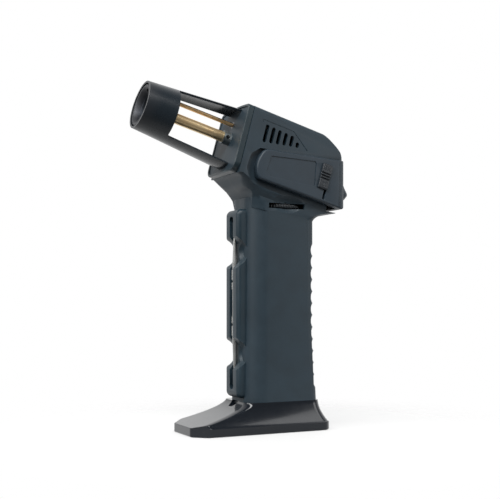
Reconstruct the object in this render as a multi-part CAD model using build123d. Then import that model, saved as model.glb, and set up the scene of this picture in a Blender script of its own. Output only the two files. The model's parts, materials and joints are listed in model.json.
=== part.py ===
"""A table-top butane torch: pistol-shaped, on a toed stand, with a tool clipped to its grip.

Millimetres. The origin is on the underside of the stand, below the middle of the grip. The
nozzle points towards -X and up, +Z is up, and the torch is symmetric about Y = 0 apart from its
lock slider (on -Y) and its screws (driven from +Y).
"""
import math
import os

from build123d import *

# ---------------------------------------------------------------- driving dimensions
WALL = 2.2                      # moulded shell wall
GAP = 0.3                       # clearance between pieces that move past each other

# Nozzle axis: a line that leaves the head at NOZZLE_X, NOZZLE_Z and rises towards the front.
NOZZLE_PITCH = 15.4
NOZZLE_X, NOZZLE_Z = -28.0, 168.0

# Grip: rounded rectangular sections, (height, front, back, half width).
GRIP_SECTIONS = (
    (17.5, -22.2, 22.4, 16.9),
    (62.0, -21.5, 20.6, 16.1),
    (134.0, -21.0, 20.5, 16.0),
)
GRIP_FRONT_CORNER, GRIP_BACK_CORNER = 11.0, 6.0
GRIP_BOTTOM, GRIP_TOP = GRIP_SECTIONS[0][0], GRIP_SECTIONS[-1][0]
RIB_COUNT, RIB_PITCH, RIB_DEPTH, RIB_LOWEST = 13, 6.9, 0.9, 25.5
RIB_WRAP = 62                   # how far each rib runs round the back corners, in degrees

# Head: half width, and heights measured square to the nozzle axis.
HEAD_HALF = 19.5
HEAD_TOP = 18.9                 # crown above the axis
HEAD_FRONT = -3.0               # front face, measured along the axis
HEAD_SKIRT = -25.2              # where the sides start to draw in to the grip
HEAD_BACK = 27.0                # back wall behind the trigger
HEAD_END, HEAD_END_CORNER = 38.0, 5.0
NECK_SECTIONS = (               # (height, front, half width, front corner)
    (110.0, -21.0, 16.0, 11.0),
    (129.0, -21.0, 16.4, 10.8),
    (134.0, -21.4, 17.6, 10.2),
    (139.0, -23.8, 19.4, 9.0),
    (142.8, -27.4, 20.0, 7.6),
    (146.7, -30.9, 20.4, 5.6),
)
FACE_FRONT = 0.0                # front plate inside the bezel, measured along the axis
EAVE_START, EAVE_FALL = (-13.6, 160.6), 0.066   # underside of the overhang above the trigger
TRAY_Z = 127.6                  # top of the ledge below the trigger

# Bezel round the front face.
BEZEL_DEPTH, BEZEL_WALL, BEZEL_BOTTOM, BEZEL_TOP = 3.6, 1.5, -21.3, 18.0
BEZEL_HALF, BEZEL_CROWN = 19.2, 1.15

# Flame guard: a tapered tube with two side windows.
GUARD_END, GUARD_ROOT = 55.8, -6.0
GUARD_END_R, GUARD_TAPER, GUARD_WALL = 13.6, 0.083, 1.1
WINDOW_END, STRUT_HALF_ANGLE = 38.2, 27.0

# Burner parts along the nozzle axis.
BURNER_R, BURNER_WALL, BURNER_START, BURNER_END = 3.0, 0.5, 4.4, 44.5
JET_R, JET_BACK, JET_HOLE_AT = 3.8, -12.0, 2.2
ELECTRODE_RISE, ELECTRODE_R, ELECTRODE_END = 8.5, 1.15, 41.0
CUP_R, CUP_LIP_R, CUP_THROAT_R, CUP_FRONT = 12.1, 10.5, 5.6, 55.4

# Trigger: a saddle round the back of the head that slides forwards.
TRIGGER_HALF = 21.5
RECESS_HALF = 17.0              # floor of the side recess the wings slide over
TRIGGER_WEB_X, TRIGGER_BACK_X = 33.0, 38.8
LEDGE_HALF, LEDGE_CORNER = 17.5, 6.0
LEDGE_SECTIONS = (              # (height, back)
    (133.8, 40.0), (136.0, 42.1), (137.6, 43.4), (138.8, 43.3), (141.8, 41.6), (145.0, 40.2),
)

# Lock slider, placed along and above the nozzle axis.
LOCK_BACK, LOCK_RISE = 54.9, -6.7
LOCK_WIDTH, LOCK_LENGTH, LOCK_HEIGHT, LOCK_GROOVE_PITCH = 6.4, 15.0, 1.3, 1.6
LOCK_NECK, LOCK_NECK_AT = 1.0, 2.3

# Ignition and valve gear.
PIEZO_Z, PIEZO_FRONT, PIEZO_BACK, PIEZO_SIZE = 152.0, 0.0, 20.0, 8.0
PLUNGER_END = 28.8
VALVE_X, NIPPLE_Z = 1.0, 132.6
LEVER_PIVOT_X, LEVER_PIVOT_Z, LEVER_TOP_Z, LEVER_PIN_R = 8.0, 139.0, 153.0, 1.0
LEVER_PLATE_Y, LEVER_NOSE_Z, PRONG_Z = 6.2, (137.9, 139.3), (153.2, 155.3)
STEM_R, STEM_HEAD_R, STEM_TOP = 1.5, 2.2, 137.0
WHEEL_Z, WHEEL_R, WHEEL_THICK, WHEEL_TEETH = 129.4, 16.2, 2.4, 60
SLOT_FRONT, SLOT_BACK, SLOT_HALF = -10.5, 12.5, 1.5

# Fuel tank.
TANK_BOTTOM, TANK_TOP, TANK_WALL, TANK_GAP = 24.5, 112.0, 1.6, 1.0
FILL_X, FILL_WELL_R, FILL_BORE_R, FILL_BORE_DEPTH = 10.5, 7.0, 1.6, 6.0

# Tool rail on the front of the grip, and the tool in it.
RAIL_FRONT, RAIL_BACK, RAIL_HALF, RAIL_BOTTOM, RAIL_TOP = -26.5, -19.5, 8.5, 19.5, 127.6
NOTCH_CENTRES, NOTCH_HALF, NOTCH_DEPTH = (44.8, 102.8), 9.3, 3.5
GROOVE_HALF, GROOVE_FLOOR = 2.2, -22.3
TOOL_X, TOOL_R, TOOL_COLLAR_R, TOOL_CENTRE, TOOL_LENGTH = -24.3, 1.4, 1.85, 73.9, 84.0

# Stand: outline of the rim, and how the foot draws in with height.
STAND_FRONT, STAND_BACK, STAND_HALF, STAND_RIM = -57.0, 29.2, 20.5, 5.2
STAND_NOSE_HALF, STAND_CORNER = 12.4, 9.0
STAND_SECTIONS = (              # (height, front, back, half width, front corner)
    (5.2, -57.0, 29.2, 20.5, 2.2),
    (8.0, -45.9, 27.2, 19.0, 3.0),
    (11.0, -36.0, 25.5, 18.0, 4.0),
    (14.0, -28.6, 24.3, 17.4, 5.0),
    (17.5, -24.2, 23.6, 17.1, 6.0),
)

BASE_SCREWS = ((-12.0, -8.0), (-12.0, 8.0))
FOOT_BACK_CORNER = 6.5

# ---------------------------------------------------------------- reference planes
PITCH = math.radians(NOZZLE_PITCH)
FORWARD = Vector(-math.cos(PITCH), 0, math.sin(PITCH))
UPWARD = Vector(math.sin(PITCH), 0, math.cos(PITCH))
NOZZLE = Plane(origin=(NOZZLE_X, 0, NOZZLE_Z), x_dir=(0, -1, 0), z_dir=FORWARD)
SIDE = Plane(origin=(NOZZLE_X, 0, NOZZLE_Z), x_dir=-FORWARD, z_dir=(0, -1, 0))


def at(along, above, side=0.0):
    """A point given by its distance along the nozzle axis, above it, and to +Y."""
    point = Vector(NOZZLE_X, side, NOZZLE_Z) + FORWARD * along + UPWARD * above
    return point


def flat(along, above):
    """The same point as (x, z) on the mid-plane."""
    point = at(along, above)
    return (point.X, point.Z)


def guard_radius(along):
    """Outer radius of the flame guard at a distance along the axis."""
    return GUARD_END_R + (GUARD_END - along) * GUARD_TAPER


def side_prism(face, half):
    """A face drawn in X and Z, made a prism from Y = -half to Y = half."""
    return extrude(Plane.XZ * face, amount=half, both=True)


def turned(points, plane=NOZZLE):
    """A closed profile of (radius, distance along the axis) points, revolved about the axis."""
    face = Plane.XZ * make_face(Polyline(*points, close=True))
    return plane.location * revolve(face, axis=Axis.Z)


def block(x, y, z):
    """A box given by its low and high limits on each axis."""
    size = (x[1] - x[0], y[1] - y[0], z[1] - z[0])
    centre = ((x[0] + x[1]) / 2, (y[0] + y[1]) / 2, (z[0] + z[1]) / 2)
    return Pos(*centre) * Box(*size)


def rod_y(x, z, radius, low, high):
    """A cylinder along Y."""
    return Pos(x, (low + high) / 2, z) * Rot(90, 0, 0) * Cylinder(radius, high - low)


def rod_x(y, z, radius, low, high):
    """A cylinder along X."""
    return Pos((low + high) / 2, y, z) * Rot(0, 90, 0) * Cylinder(radius, high - low)


def rod_z(x, y, radius, low, high):
    """A cylinder along Z."""
    return Pos(x, y, (low + high) / 2) * Cylinder(radius, high - low)


def mirrored(solid):
    """A solid and its reflection in the mid-plane."""
    return solid + mirror(solid, about=Plane.XZ)


def rounded(front, back, half, front_corner, back_corner):
    """A plan section with one corner radius at its front and another at its back."""
    section = Pos((front + back) / 2, 0) * Rectangle(back - front, 2 * half)
    section = fillet(section.vertices().group_by(Axis.X)[0], front_corner)
    return fillet(section.vertices().group_by(Axis.X)[-1], back_corner)


def eave_z(x):
    """Height of the underside of the overhang above the trigger."""
    return EAVE_START[1] - EAVE_FALL * (x - EAVE_START[0])


# ---------------------------------------------------------------- housing
def grip_section(front, back, half, inset):
    """One plan section of the grip, set in by a distance."""
    return rounded(front + inset, back - inset, half - inset,
                   GRIP_FRONT_CORNER - inset, GRIP_BACK_CORNER - inset)


def grip(inset=0.0, low=GRIP_BOTTOM, high=GRIP_TOP):
    """The grip's body, or its inside when inset by the wall."""
    sections = []
    for height, front, back, half in GRIP_SECTIONS:
        height = min(max(height, low), high)
        sections.append(Pos(0, 0, height) * grip_section(front, back, half, inset))
    return loft(sections, ruled=True)


def head_side():
    """The head's side outline: crown, rolled back, overhang, back wall, ledge and chin."""
    crown_front = flat(HEAD_FRONT, HEAD_TOP)
    shoulder = flat(-44.5, HEAD_TOP)
    eave = (HEAD_END - 0.1, eave_z(HEAD_END))
    chin = flat(HEAD_FRONT, BEZEL_BOTTOM)
    edges = [
        Line(crown_front, shoulder),
        Spline(shoulder, (25.4, 171.2), (31.2, 166.3), eave, tangents=[(0.964, -0.266), (0.4, -1.0)]),
        Polyline(eave, (HEAD_BACK, eave_z(HEAD_BACK)), (HEAD_BACK, TRAY_Z), (33.4, TRAY_Z - 0.7),
                 (33.4, 126.6), (14.0, 126.0), (14.0, 119.0), (-19.0, 128.0), (-19.4, 131.5)),
        Spline((-19.4, 131.5), (-21.2, 137.4), (-25.9, 141.2), (-28.0, 144.6), chin,
               tangents=[(0.0, 1.0), (-0.9, 0.6)]),
        Line(chin, crown_front),
    ]
    return make_face(Curve() + edges)


def head_front(inset=0.0):
    """The head's outline seen along the nozzle: crowned top, straight sides, drawn-in skirt."""
    half, top = HEAD_HALF - inset, HEAD_TOP - inset
    low_half = GRIP_SECTIONS[-1][3] - inset
    right = Polyline((half - 0.5, top - 0.9), (half, -8.0), (half, HEAD_SKIRT),
                     (low_half + 0.4, HEAD_SKIRT - 4.0), (low_half, -36.0), (low_half, -60.0))
    left = mirror(right, about=Plane.YZ)
    crown = ThreePointArc((-half + 0.5, top - 0.9), (0, top), (half - 0.5, top - 0.9))
    floor = Line((low_half, -60.0), (-low_half, -60.0))
    return make_face(right + left + crown + floor)


def head_cavity_side():
    """The side outline of the space inside the head, a wall's thickness within its outline."""
    front, back = HEAD_FRONT - WALL, HEAD_BACK - WALL
    return make_face(Polyline(
        flat(front, HEAD_TOP - WALL), flat(-43.5, HEAD_TOP - WALL), (28.2, 165.6),
        (32.0, 161.6), (32.0, eave_z(32.0) + WALL), (back, eave_z(back) + WALL),
        (back, TRAY_Z + 2.0), (17.0, 126.0), (16.6, 118.0), (-17.0, 120.0), (-17.2, 132.0),
        (-18.8, 138.8), (-23.8, 143.0), (-26.0, 146.4), flat(front, BEZEL_BOTTOM + WALL),
        close=True))


def overhang():
    """The flare that joins the back of the grip to the ledge below the trigger."""
    sections = []
    for height, back, half, corner in ((119.0, 20.5, 16.0, 6.0), (122.6, 21.3, 16.1, 6.2),
                                       (124.8, 24.4, 17.0, 7.0), (126.1, 29.2, 18.4, 8.2),
                                       (126.9, 33.4, 19.3, 9.0)):
        sections.append(Pos(0, 0, height) * rounded(4.0, back, half, 3.0, corner))
    return loft(sections)


def neck(inset):
    """A limit round the head: rounded front corners from the grip up to the bezel."""
    sections = []
    for height, front, half, corner in NECK_SECTIONS:
        sections.append(Pos(0, 0, height) * rounded(
            front + inset, 60.0, half - inset, corner - inset, 1.0))
    top = NECK_SECTIONS[-1][0]
    return loft(sections, ruled=True) + block((-60, 60), (-40, 40), (top, 230))


def head(inset=0.0):
    """The head's body, or its inside when inset by the wall."""
    side = head_cavity_side() if inset else head_side()
    along_axis = extrude(NOZZLE * Pos(0, 0, 5) * head_front(inset), amount=-120)
    body = side_prism(side, 40) & along_axis
    if not inset:
        body = fillet(crown_edges(body), 2.6)
        body += overhang() & along_axis
    body &= neck(inset)
    plan = Pos(-20, 0, 145) * RectangleRounded(
        2 * (HEAD_END + 20 - inset), 2 * (HEAD_HALF - inset), HEAD_END_CORNER - inset)
    return body & extrude(plan, amount=60, both=True)


def recess_face():
    """The recess that a trigger wing lies in, open towards the back."""
    front = [(-17.4, eave_z(-17.4)), (-23.2, 157.4), (-26.0, 150.0), (-25.0, 144.9), (-22.0, 141.3)]
    points = front + [(-17.4, 139.2), (21.0, 128.8), (HEAD_BACK, TRAY_Z), (50, TRAY_Z),
                      (50, eave_z(50))]
    outline = FilletPolyline(*points[:7], radius=3.0)
    rest = Polyline(*points[6:], points[0])
    return make_face(outline + rest)


def vent_slots():
    """Six cooling slots square to the nozzle axis, shorter where the engraved line comes down."""
    slots = []
    for index in range(6):
        back = 13.3 + 4.14 * index
        low = -0.3 + 0.84 * index
        high = 10.2 - 0.15 * index if index < 5 else 7.0
        slot = Pos(back, (low + high) / 2) * SlotOverall(high - low, 2.3, rotation=90)
        slots.append(extrude(SIDE * slot, amount=60, both=True))
    return slots


def engraved_line():
    """A fine groove over the vents, turning down behind them."""
    path = Polyline((9.8, 10.4), (9.8, 12.0), (29.8, 12.0), (41.0, 4.4))
    stroke = trace(path, 0.7)
    return extrude(SIDE * Pos(0, 0, HEAD_HALF - 0.6) * stroke, amount=4)


def thumb_scoop():
    """A lens-shaped dip round the wheel slot, cut into one flank."""
    return Pos(VALVE_X, -21.6, WHEEL_Z + 0.5) * scale(Sphere(1), by=(14.0, 7.0, 7.0))


def screw_places():
    """Where the shell screws cross the housing, as (x, z)."""
    return [(-13.0, 121.0), (14.2, 121.0), flat(-8.0, 13.9), (23.4, 165.0)]


def housing():
    """The two shells as one body, before it is split on the mid-plane."""
    outer = head() + grip()
    outer += extrude(NOZZLE * Pos(0, 0, HEAD_FRONT - 0.5) * bezel_outline(BEZEL_WALL + 0.05),
                     amount=FACE_FRONT - HEAD_FRONT + 0.5)
    liner = block((-60, 60), (RECESS_HALF - WALL, 40), (100, EAVE_START[1] + WALL))
    inner = head(WALL) - mirrored(liner) + grip(WALL, low=GRIP_BOTTOM + WALL)
    bosses = [rod_y(x, z, 3.0, -HEAD_HALF, HEAD_HALF) for x, z in screw_places()]
    shell = outer - inner + (Part() + bosses & outer)
    shell -= mirrored(extrude(Plane.XZ.offset(RECESS_HALF) * recess_face(), amount=20))
    shell -= vent_slots()
    shell -= mirrored(engraved_line())
    shell -= mirrored(thumb_scoop())
    shell -= block((SLOT_FRONT, SLOT_BACK), (-30, 30), (WHEEL_Z - SLOT_HALF, WHEEL_Z + SLOT_HALF))
    shell -= rod_z(VALVE_X, 0, WHEEL_R + 0.5, WHEEL_Z - SLOT_HALF, WHEEL_Z + SLOT_HALF)
    shell -= block((HEAD_BACK - 4, HEAD_BACK + 2), (-8.5, 8.5), (146.5, 156.6))
    shell -= rib_valleys()
    for x, z in screw_places():
        shell -= rod_y(x, z, 1.3, -12.0, 30.0)
        shell -= rod_y(x, z, 2.9, 12.0, 30.0)
    shell -= NOZZLE * Pos(0, 0, -6) * Cylinder(JET_R + 0.05, 20)
    shell -= NOZZLE * Pos(0, ELECTRODE_RISE, -6) * Cylinder(2.0, 20)
    shell -= guard_blank(0.05)
    shell -= rod_z(FILL_X, 0, 4.6, 10, 22)
    for x, y in BASE_SCREWS:
        shell -= rod_z(x, y, 1.3, 10, 23)
    return shell


def crown_edges(body):
    """The long edges along both sides of the crown."""
    edges = body.edges().filter_by(GeomType.LINE)
    return [e for e in edges if e.length > 30 and e.center().Z > 172 and abs(e.center().Y) > 15]


def grip_back(height):
    """Where the grip's back lies at a height."""
    below, above = GRIP_SECTIONS[:2] if height < GRIP_SECTIONS[1][0] else GRIP_SECTIONS[1:]
    share = (height - below[0]) / (above[0] - below[0])
    return below[2] + (above[2] - below[2]) * share


def rib_valleys():
    """Shallow scallops down the back of the grip and round its corners, between the ribs."""
    radius = RIB_PITCH ** 2 / (8 * RIB_DEPTH) + RIB_DEPTH / 2
    reach = radius - RIB_DEPTH
    corner_y = GRIP_SECTIONS[-1][3] - GRIP_BACK_CORNER
    profile = Plane.XZ * Pos(GRIP_BACK_CORNER + reach, 0) * Circle(radius)
    bend = revolve(profile, axis=Axis.Z, revolution_arc=RIB_WRAP)
    cuts = []
    for index in range(RIB_COUNT - 1):
        height = RIB_LOWEST + RIB_PITCH * (index + 0.5)
        surface = grip_back(height)
        cuts.append(rod_y(surface + reach, height, radius, -corner_y, corner_y))
        right = Pos(surface - GRIP_BACK_CORNER, corner_y, height) * bend
        cuts += [right, mirror(right, about=Plane.XZ)]
    return cuts


def shell_halves():
    """The left (-Y) and right (+Y) shells."""
    body = housing()
    left = body & block((-80, 80), (-40, 0), (0, 230))
    right = body & block((-80, 80), (0, 40), (0, 230))
    return left, right


def bezel_outline(inset):
    """The bezel's outline seen along the nozzle, with a crowned top."""
    half, low, top = BEZEL_HALF - inset, BEZEL_BOTTOM + inset, BEZEL_TOP - inset
    walls = Polyline((half - 0.4, top), (half, low), (-half, low), (-half + 0.4, top))
    crown = ThreePointArc((-half + 0.4, top), (0, top + BEZEL_CROWN), (half - 0.4, top))
    face = make_face(walls + crown)
    low_corners = face.vertices().group_by(Axis.Y)[0]
    face = fillet(low_corners, 5.4 - 0.8 * inset)
    high_corners = face.vertices().group_by(Axis.Y)[-1]
    return fillet(high_corners, 2.8 - 0.8 * inset)


def front_bezel():
    """A thin raised frame round the front face of the head."""
    ring = NOZZLE * Pos(0, 0, HEAD_FRONT) * (bezel_outline(0) - bezel_outline(BEZEL_WALL))
    frame = extrude(ring, amount=BEZEL_DEPTH)
    return frame - guard_blank(0.05)


# ---------------------------------------------------------------- nozzle
def guard_blank(grow=0.0):
    """The guard's tapered wall between its two windows, before and behind the front face."""
    low, high = GUARD_ROOT - 1.0, 3.0
    outer = [(guard_radius(s) + grow, s) for s in (low, high)]
    inner = [(guard_radius(s) - GUARD_WALL - grow, s) for s in (high, low)]
    tube = turned(outer + inner)
    wedge_half = math.radians(STRUT_HALF_ANGLE) + grow / guard_radius(0)
    reach = 30.0
    wedge = make_face(Polyline((0, 0), (reach * math.tan(wedge_half), reach),
                               (-reach * math.tan(wedge_half), reach), close=True))
    wedges = extrude(NOZZLE * (wedge + mirror(wedge, about=Plane.XZ)), amount=80, both=True)
    return tube & wedges


def flame_guard():
    """The blackened steel guard: a tapered collar on an upper and a lower strut."""
    ends = (GUARD_ROOT, GUARD_END - 0.4, GUARD_END)
    outer = [(guard_radius(ends[0]), ends[0]), (guard_radius(ends[1]), ends[1]),
             (guard_radius(ends[2]) - 0.4, ends[2])]
    inner = [(guard_radius(s) - GUARD_WALL, s) for s in (GUARD_END, GUARD_ROOT)]
    tube = turned(outer + inner)
    half = math.radians(STRUT_HALF_ANGLE)
    reach = 30.0
    side = make_face(Polyline((0, 0), (reach * math.sin(half), reach * math.cos(half)),
                              (reach * 1.4, 0), (reach * math.sin(half), -reach * math.cos(half)),
                              close=True))
    window = extrude(NOZZLE * Pos(0, 0, GUARD_ROOT - 5) * side, amount=WINDOW_END - GUARD_ROOT + 5)
    return tube - window - mirror(window, about=Plane.XZ)


def burner_cup():
    """The flared cup inside the collar, which shapes the flame."""
    seat = guard_radius(42.0) - GUARD_WALL - 0.05
    lead = guard_radius(45.0) - GUARD_WALL - 0.05
    cup = turned([(seat, 42.0), (lead, 45.0), (CUP_R, 46.0), (CUP_R, CUP_FRONT - 0.6),
                  (CUP_R - 0.6, CUP_FRONT), (CUP_LIP_R, CUP_FRONT), (CUP_THROAT_R, 47.6),
                  (CUP_THROAT_R, 42.0)])
    pin_hole = NOZZLE * Pos(0, ELECTRODE_RISE, 47) * Cylinder(ELECTRODE_R + 0.1, 16)
    return cup - pin_hole


def flame_holder():
    """A perforated disc that closes the cup round the end of the burner tube."""
    disc = turned([(BURNER_R + 0.02, 42.4), (CUP_THROAT_R - 0.05, 42.4),
                   (CUP_THROAT_R - 0.05, 44.4), (BURNER_R + 0.02, 44.4)])
    for index in range(8):
        spot = NOZZLE * Rot(0, 0, 45 * index) * Pos(4.3, 0, 43)
        disc -= spot * Cylinder(0.55, 6)
    return disc


def burner_tube():
    """The brass mixing tube."""
    inner = BURNER_R - BURNER_WALL
    return turned([(inner, BURNER_START), (BURNER_R, BURNER_START), (BURNER_R, BURNER_END),
                   (inner, BURNER_END)])


def jet_holder():
    """The cast holder of the gas jet, with its air intake across it."""
    spigot = BURNER_R - BURNER_WALL - 0.02
    body = turned([(1.5, JET_BACK + 4), (1.5, BURNER_START + 3), (spigot, BURNER_START + 3),
                   (spigot, BURNER_START), (JET_R, BURNER_START), (JET_R, HEAD_FRONT - WALL),
                   (5.2, HEAD_FRONT - WALL), (5.2, HEAD_FRONT - WALL - 2),
                   (JET_R, HEAD_FRONT - WALL - 2), (JET_R, JET_BACK), (2.2, JET_BACK),
                   (2.2, JET_BACK + 4)])
    intake = NOZZLE * Pos(0, 0, JET_HOLE_AT) * Rot(0, 90, 0) * Cylinder(1.2, 20)
    return body - intake


def gas_jet():
    """The brass jet screwed into the back of the holder, with a nipple for the hose."""
    return turned([(0.4, JET_BACK + 4), (0.4, JET_BACK - 3.0), (1.0, JET_BACK - 3.0),
                   (1.0, JET_BACK - 0.4), (2.2, JET_BACK - 0.4), (2.2, JET_BACK + 4)])


def electrode_tube():
    """The brass sleeve that carries the spark to the muzzle."""
    return NOZZLE * Pos(0, ELECTRODE_RISE) * turned(
        [(0.55, FACE_FRONT), (ELECTRODE_R, FACE_FRONT), (ELECTRODE_R, ELECTRODE_END),
         (0.55, ELECTRODE_END)], Plane.XY)


def electrode_pin():
    """The steel spark pin, seen at the top of the burner cup."""
    return NOZZLE * Pos(0, ELECTRODE_RISE) * turned(
        [(0, HEAD_FRONT - 6), (0.5, HEAD_FRONT - 6), (0.5, 52.2), (0.2, 52.8), (0, 52.8)], Plane.XY)


def electrode_bush():
    """The ceramic bush that insulates the spark pin where it passes the front wall."""
    return NOZZLE * Pos(0, ELECTRODE_RISE) * turned(
        [(0.55, HEAD_FRONT - 7), (1.6, HEAD_FRONT - 7), (1.95, HEAD_FRONT - 2.4),
         (1.95, FACE_FRONT), (0.55, FACE_FRONT)], Plane.XY)


# ---------------------------------------------------------------- trigger and lock
def trigger_side():
    """The trigger's side outline: wing, thumb face and rounded heel."""
    wing_low = (-14.6, 142.2)
    heel = (34.4, 128.8)
    front_top = (-12.6, eave_z(-12.6) - GAP)
    back_top = (38.1, eave_z(38.1) - GAP)
    back_low = (TRIGGER_BACK_X - 0.1, 134.2)
    edges = [
        Line(back_top, front_top),
        Spline(front_top, (-17.6, 157.2), (-20.4, 149.8), (-19.6, 144.6), wing_low,
               tangents=[(-1, EAVE_FALL), (0.964, -0.266)]),
        Line(wing_low, heel),
        Spline(heel, (37.4, 130.2), back_low, tangents=[(0.964, -0.266), (0.0, 1)]),
        Spline(back_low, (TRIGGER_BACK_X, 144.0), back_top, tangents=[(0, 1), (-0.1, 1)]),
    ]
    return make_face(Curve() + edges)


def thumb_ledge():
    """The short ledge below the thumb on the back of the trigger."""
    sections = []
    for height, back in LEDGE_SECTIONS:
        section = rounded(TRIGGER_WEB_X - 4, back, LEDGE_HALF, 0.5, LEDGE_CORNER)
        sections.append(Pos(0, 0, height) * section)
    return loft(sections, ruled=True)


def lock_place(along=0.0, above=0.0, depth=0.0):
    """A place on the left wing, given in the lock's own directions from the middle of its pad."""
    return SIDE * Pos(LOCK_BACK + along, LOCK_RISE + above, depth)


def thumb_trigger():
    """The saddle-shaped trigger: two wings, a thumb face, two prongs and a pusher."""
    saddle = side_prism(trigger_side(), TRIGGER_HALF)
    rims = [e for e in saddle.edges() if abs(abs(e.center().Y) - TRIGGER_HALF) < 0.01]
    saddle = fillet(rims, 1.2)
    plan = Pos(-20, 0, 145) * RectangleRounded(2 * (TRIGGER_BACK_X + 20), 2 * TRIGGER_HALF, 7)
    saddle &= extrude(plan, amount=40, both=True)
    saddle += thumb_ledge()
    inside = RECESS_HALF + GAP
    saddle -= block((-40, TRIGGER_WEB_X), (-inside, inside), (100, 200))
    badge = make_face(FilletPolyline((-11.6, 156.6), (-14.8, 147.6), (-12.6, 144.9), (16.6, 140.8),
                                     (17.8, 155.4), (-11.6, 156.6), radius=1.2, close=True))
    saddle -= extrude(Plane.XZ.offset(TRIGGER_HALF - 0.45) * badge, amount=2)
    slot = lock_place(LOCK_NECK_AT, -LOCK_LENGTH / 2, TRIGGER_HALF - 3.2)
    saddle -= extrude(slot * SlotOverall(11.4, LOCK_NECK + 2 * GAP, rotation=90), amount=6)
    prong_front = LEVER_PIVOT_X + 6.0 + GAP
    for side in (-1, 1):
        prong = block((prong_front, TRIGGER_WEB_X + 1), (-1.1, 1.1), PRONG_Z)
        saddle += Pos(0, LEVER_PLATE_Y * side, 0) * prong
    saddle += rod_x(0, PIEZO_Z, 3.2, PLUNGER_END + 0.1, TRIGGER_WEB_X + 1)
    saddle += rod_x(0, 138.0, 1.9, TRIGGER_WEB_X - 1.8, TRIGGER_WEB_X + 1)
    return saddle


def lock_slider():
    """The ribbed slider on the left wing that holds the trigger pressed."""
    face = lock_place(depth=TRIGGER_HALF + 0.15)
    pad = extrude(face * RectangleRounded(LOCK_WIDTH, LOCK_LENGTH, 0.9), amount=LOCK_HEIGHT)
    pad = fillet(pad.faces().sort_by(Axis.Y)[0].edges(), 0.35)
    for above in (-LOCK_GROOVE_PITCH, 0.0, LOCK_GROOVE_PITCH):
        groove = lock_place(0, above, TRIGGER_HALF + 0.15 + LOCK_HEIGHT)
        pad -= groove * Box(2 * LOCK_WIDTH, 0.75, 1.5)
    neck = lock_place(LOCK_NECK_AT, -LOCK_LENGTH / 2 + 3.6, TRIGGER_HALF - 2.9)
    return pad + extrude(neck * SlotOverall(3.2, LOCK_NECK, rotation=90), amount=3.2)


def trigger_spring():
    """The return spring between the head's back wall and the trigger."""
    length = TRIGGER_WEB_X - HEAD_BACK - 2 * 0.1
    coil_r, wire_r = 2.9, 0.3
    helix = Helix(pitch=(length - 2 * wire_r) / 3, height=length - 2 * wire_r, radius=coil_r)
    start = Plane(origin=helix @ 0, z_dir=helix % 0)
    coil = sweep(start * Circle(wire_r), path=helix, is_frenet=True)
    return Pos(HEAD_BACK + 0.1 + wire_r, 0, 138.0) * Rot(0, 90, 0) * coil


# ---------------------------------------------------------------- ignition and valve gear
def piezo_body():
    """The piezo igniter's body, lying along X behind the burner."""
    half = PIEZO_SIZE / 2
    body = block((PIEZO_FRONT, PIEZO_BACK), (-half, half), (PIEZO_Z - half, PIEZO_Z + half))
    body = fillet(body.edges().filter_by(Axis.X), 1.0)
    return body - block((PIEZO_BACK - 9, PIEZO_BACK + 1), (-2.6, 2.6), (PIEZO_Z - 2.6, PIEZO_Z + 2.6))


def piezo_plunger():
    """The sliding half of the igniter, pushed by the trigger."""
    plunger = block((PIEZO_BACK - 5, PLUNGER_END), (-2.5, 2.5), (PIEZO_Z - 2.5, PIEZO_Z + 2.5))
    return fillet(plunger.edges().filter_by(Axis.X), 0.6)


def ignition_wire():
    """The insulated lead from the igniter to the spark pin, held all its way."""
    points = [(PIEZO_FRONT, 2.5, PIEZO_Z), (-5.0, 2.5, PIEZO_Z), (-5.0, 2.5, 165.5),
              at(-18.0, ELECTRODE_RISE), at(-10.0, ELECTRODE_RISE)]
    path = FilletPolyline(*points, radius=3.0)
    return sweep(Plane(origin=points[0], z_dir=(-1, 0, 0)) * Circle(0.7), path=path)


def valve_body():
    """The outlet valve standing on the tank, with a side nipple for the hose."""
    body = rod_z(VALVE_X, 0, 4.0, TANK_TOP + 1.5, 134.4) - rod_z(VALVE_X, 0, STEM_R + 0.05, 126, 140)
    foot = Pos(VALVE_X, 0, TANK_TOP + 4.5) * extrude(RegularPolygon(6.2, 6), amount=3.5)
    thread = rod_z(VALVE_X, 0, 3.0, TANK_TOP - 4, TANK_TOP + 2)
    nipple = rod_x(0, NIPPLE_Z, 0.95, -6.0, VALVE_X - 3)
    return body + foot + thread + nipple


def valve_stem():
    """The stem that opens the valve when the lever presses it down."""
    stem = rod_z(VALVE_X, 0, STEM_R, 128.4, STEM_TOP - 0.6)
    return stem + rod_z(VALVE_X, 0, STEM_HEAD_R, STEM_TOP - 0.7, STEM_TOP)


def valve_lever():
    """The rocker that turns the trigger's push into a press on the valve stem."""
    side = make_face(Polyline((5.4, 135.8), (5.4, 141.0), (9.0, 147.0), (10.6, LEVER_TOP_Z + 2.5),
                              (14.0, LEVER_TOP_Z + 2.5), (13.4, LEVER_TOP_Z - 2.0),
                              (11.4, 144.0), (10.8, 135.8), close=True))
    plates = [Pos(0, LEVER_PLATE_Y * s, 0) * side_prism(side, 0.9) for s in (-1, 1)]
    web = block((5.4, 10.8), (-5.6, 5.6), (135.8, 137.2)) + block((5.4, 6.8), (-5.6, 5.6), (136, 140.6))
    nose = block((-1.0, 6.0), (-1.6, 1.6), LEVER_NOSE_Z)
    lever = Part() + plates + web + nose
    return lever - rod_y(LEVER_PIVOT_X, LEVER_PIVOT_Z, LEVER_PIN_R + 0.05, -10, 10)


def lever_pin():
    """The pin that the rocker turns on, across the housing."""
    return rod_y(LEVER_PIVOT_X, LEVER_PIVOT_Z, LEVER_PIN_R, -RECESS_HALF + WALL, RECESS_HALF - WALL)


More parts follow.
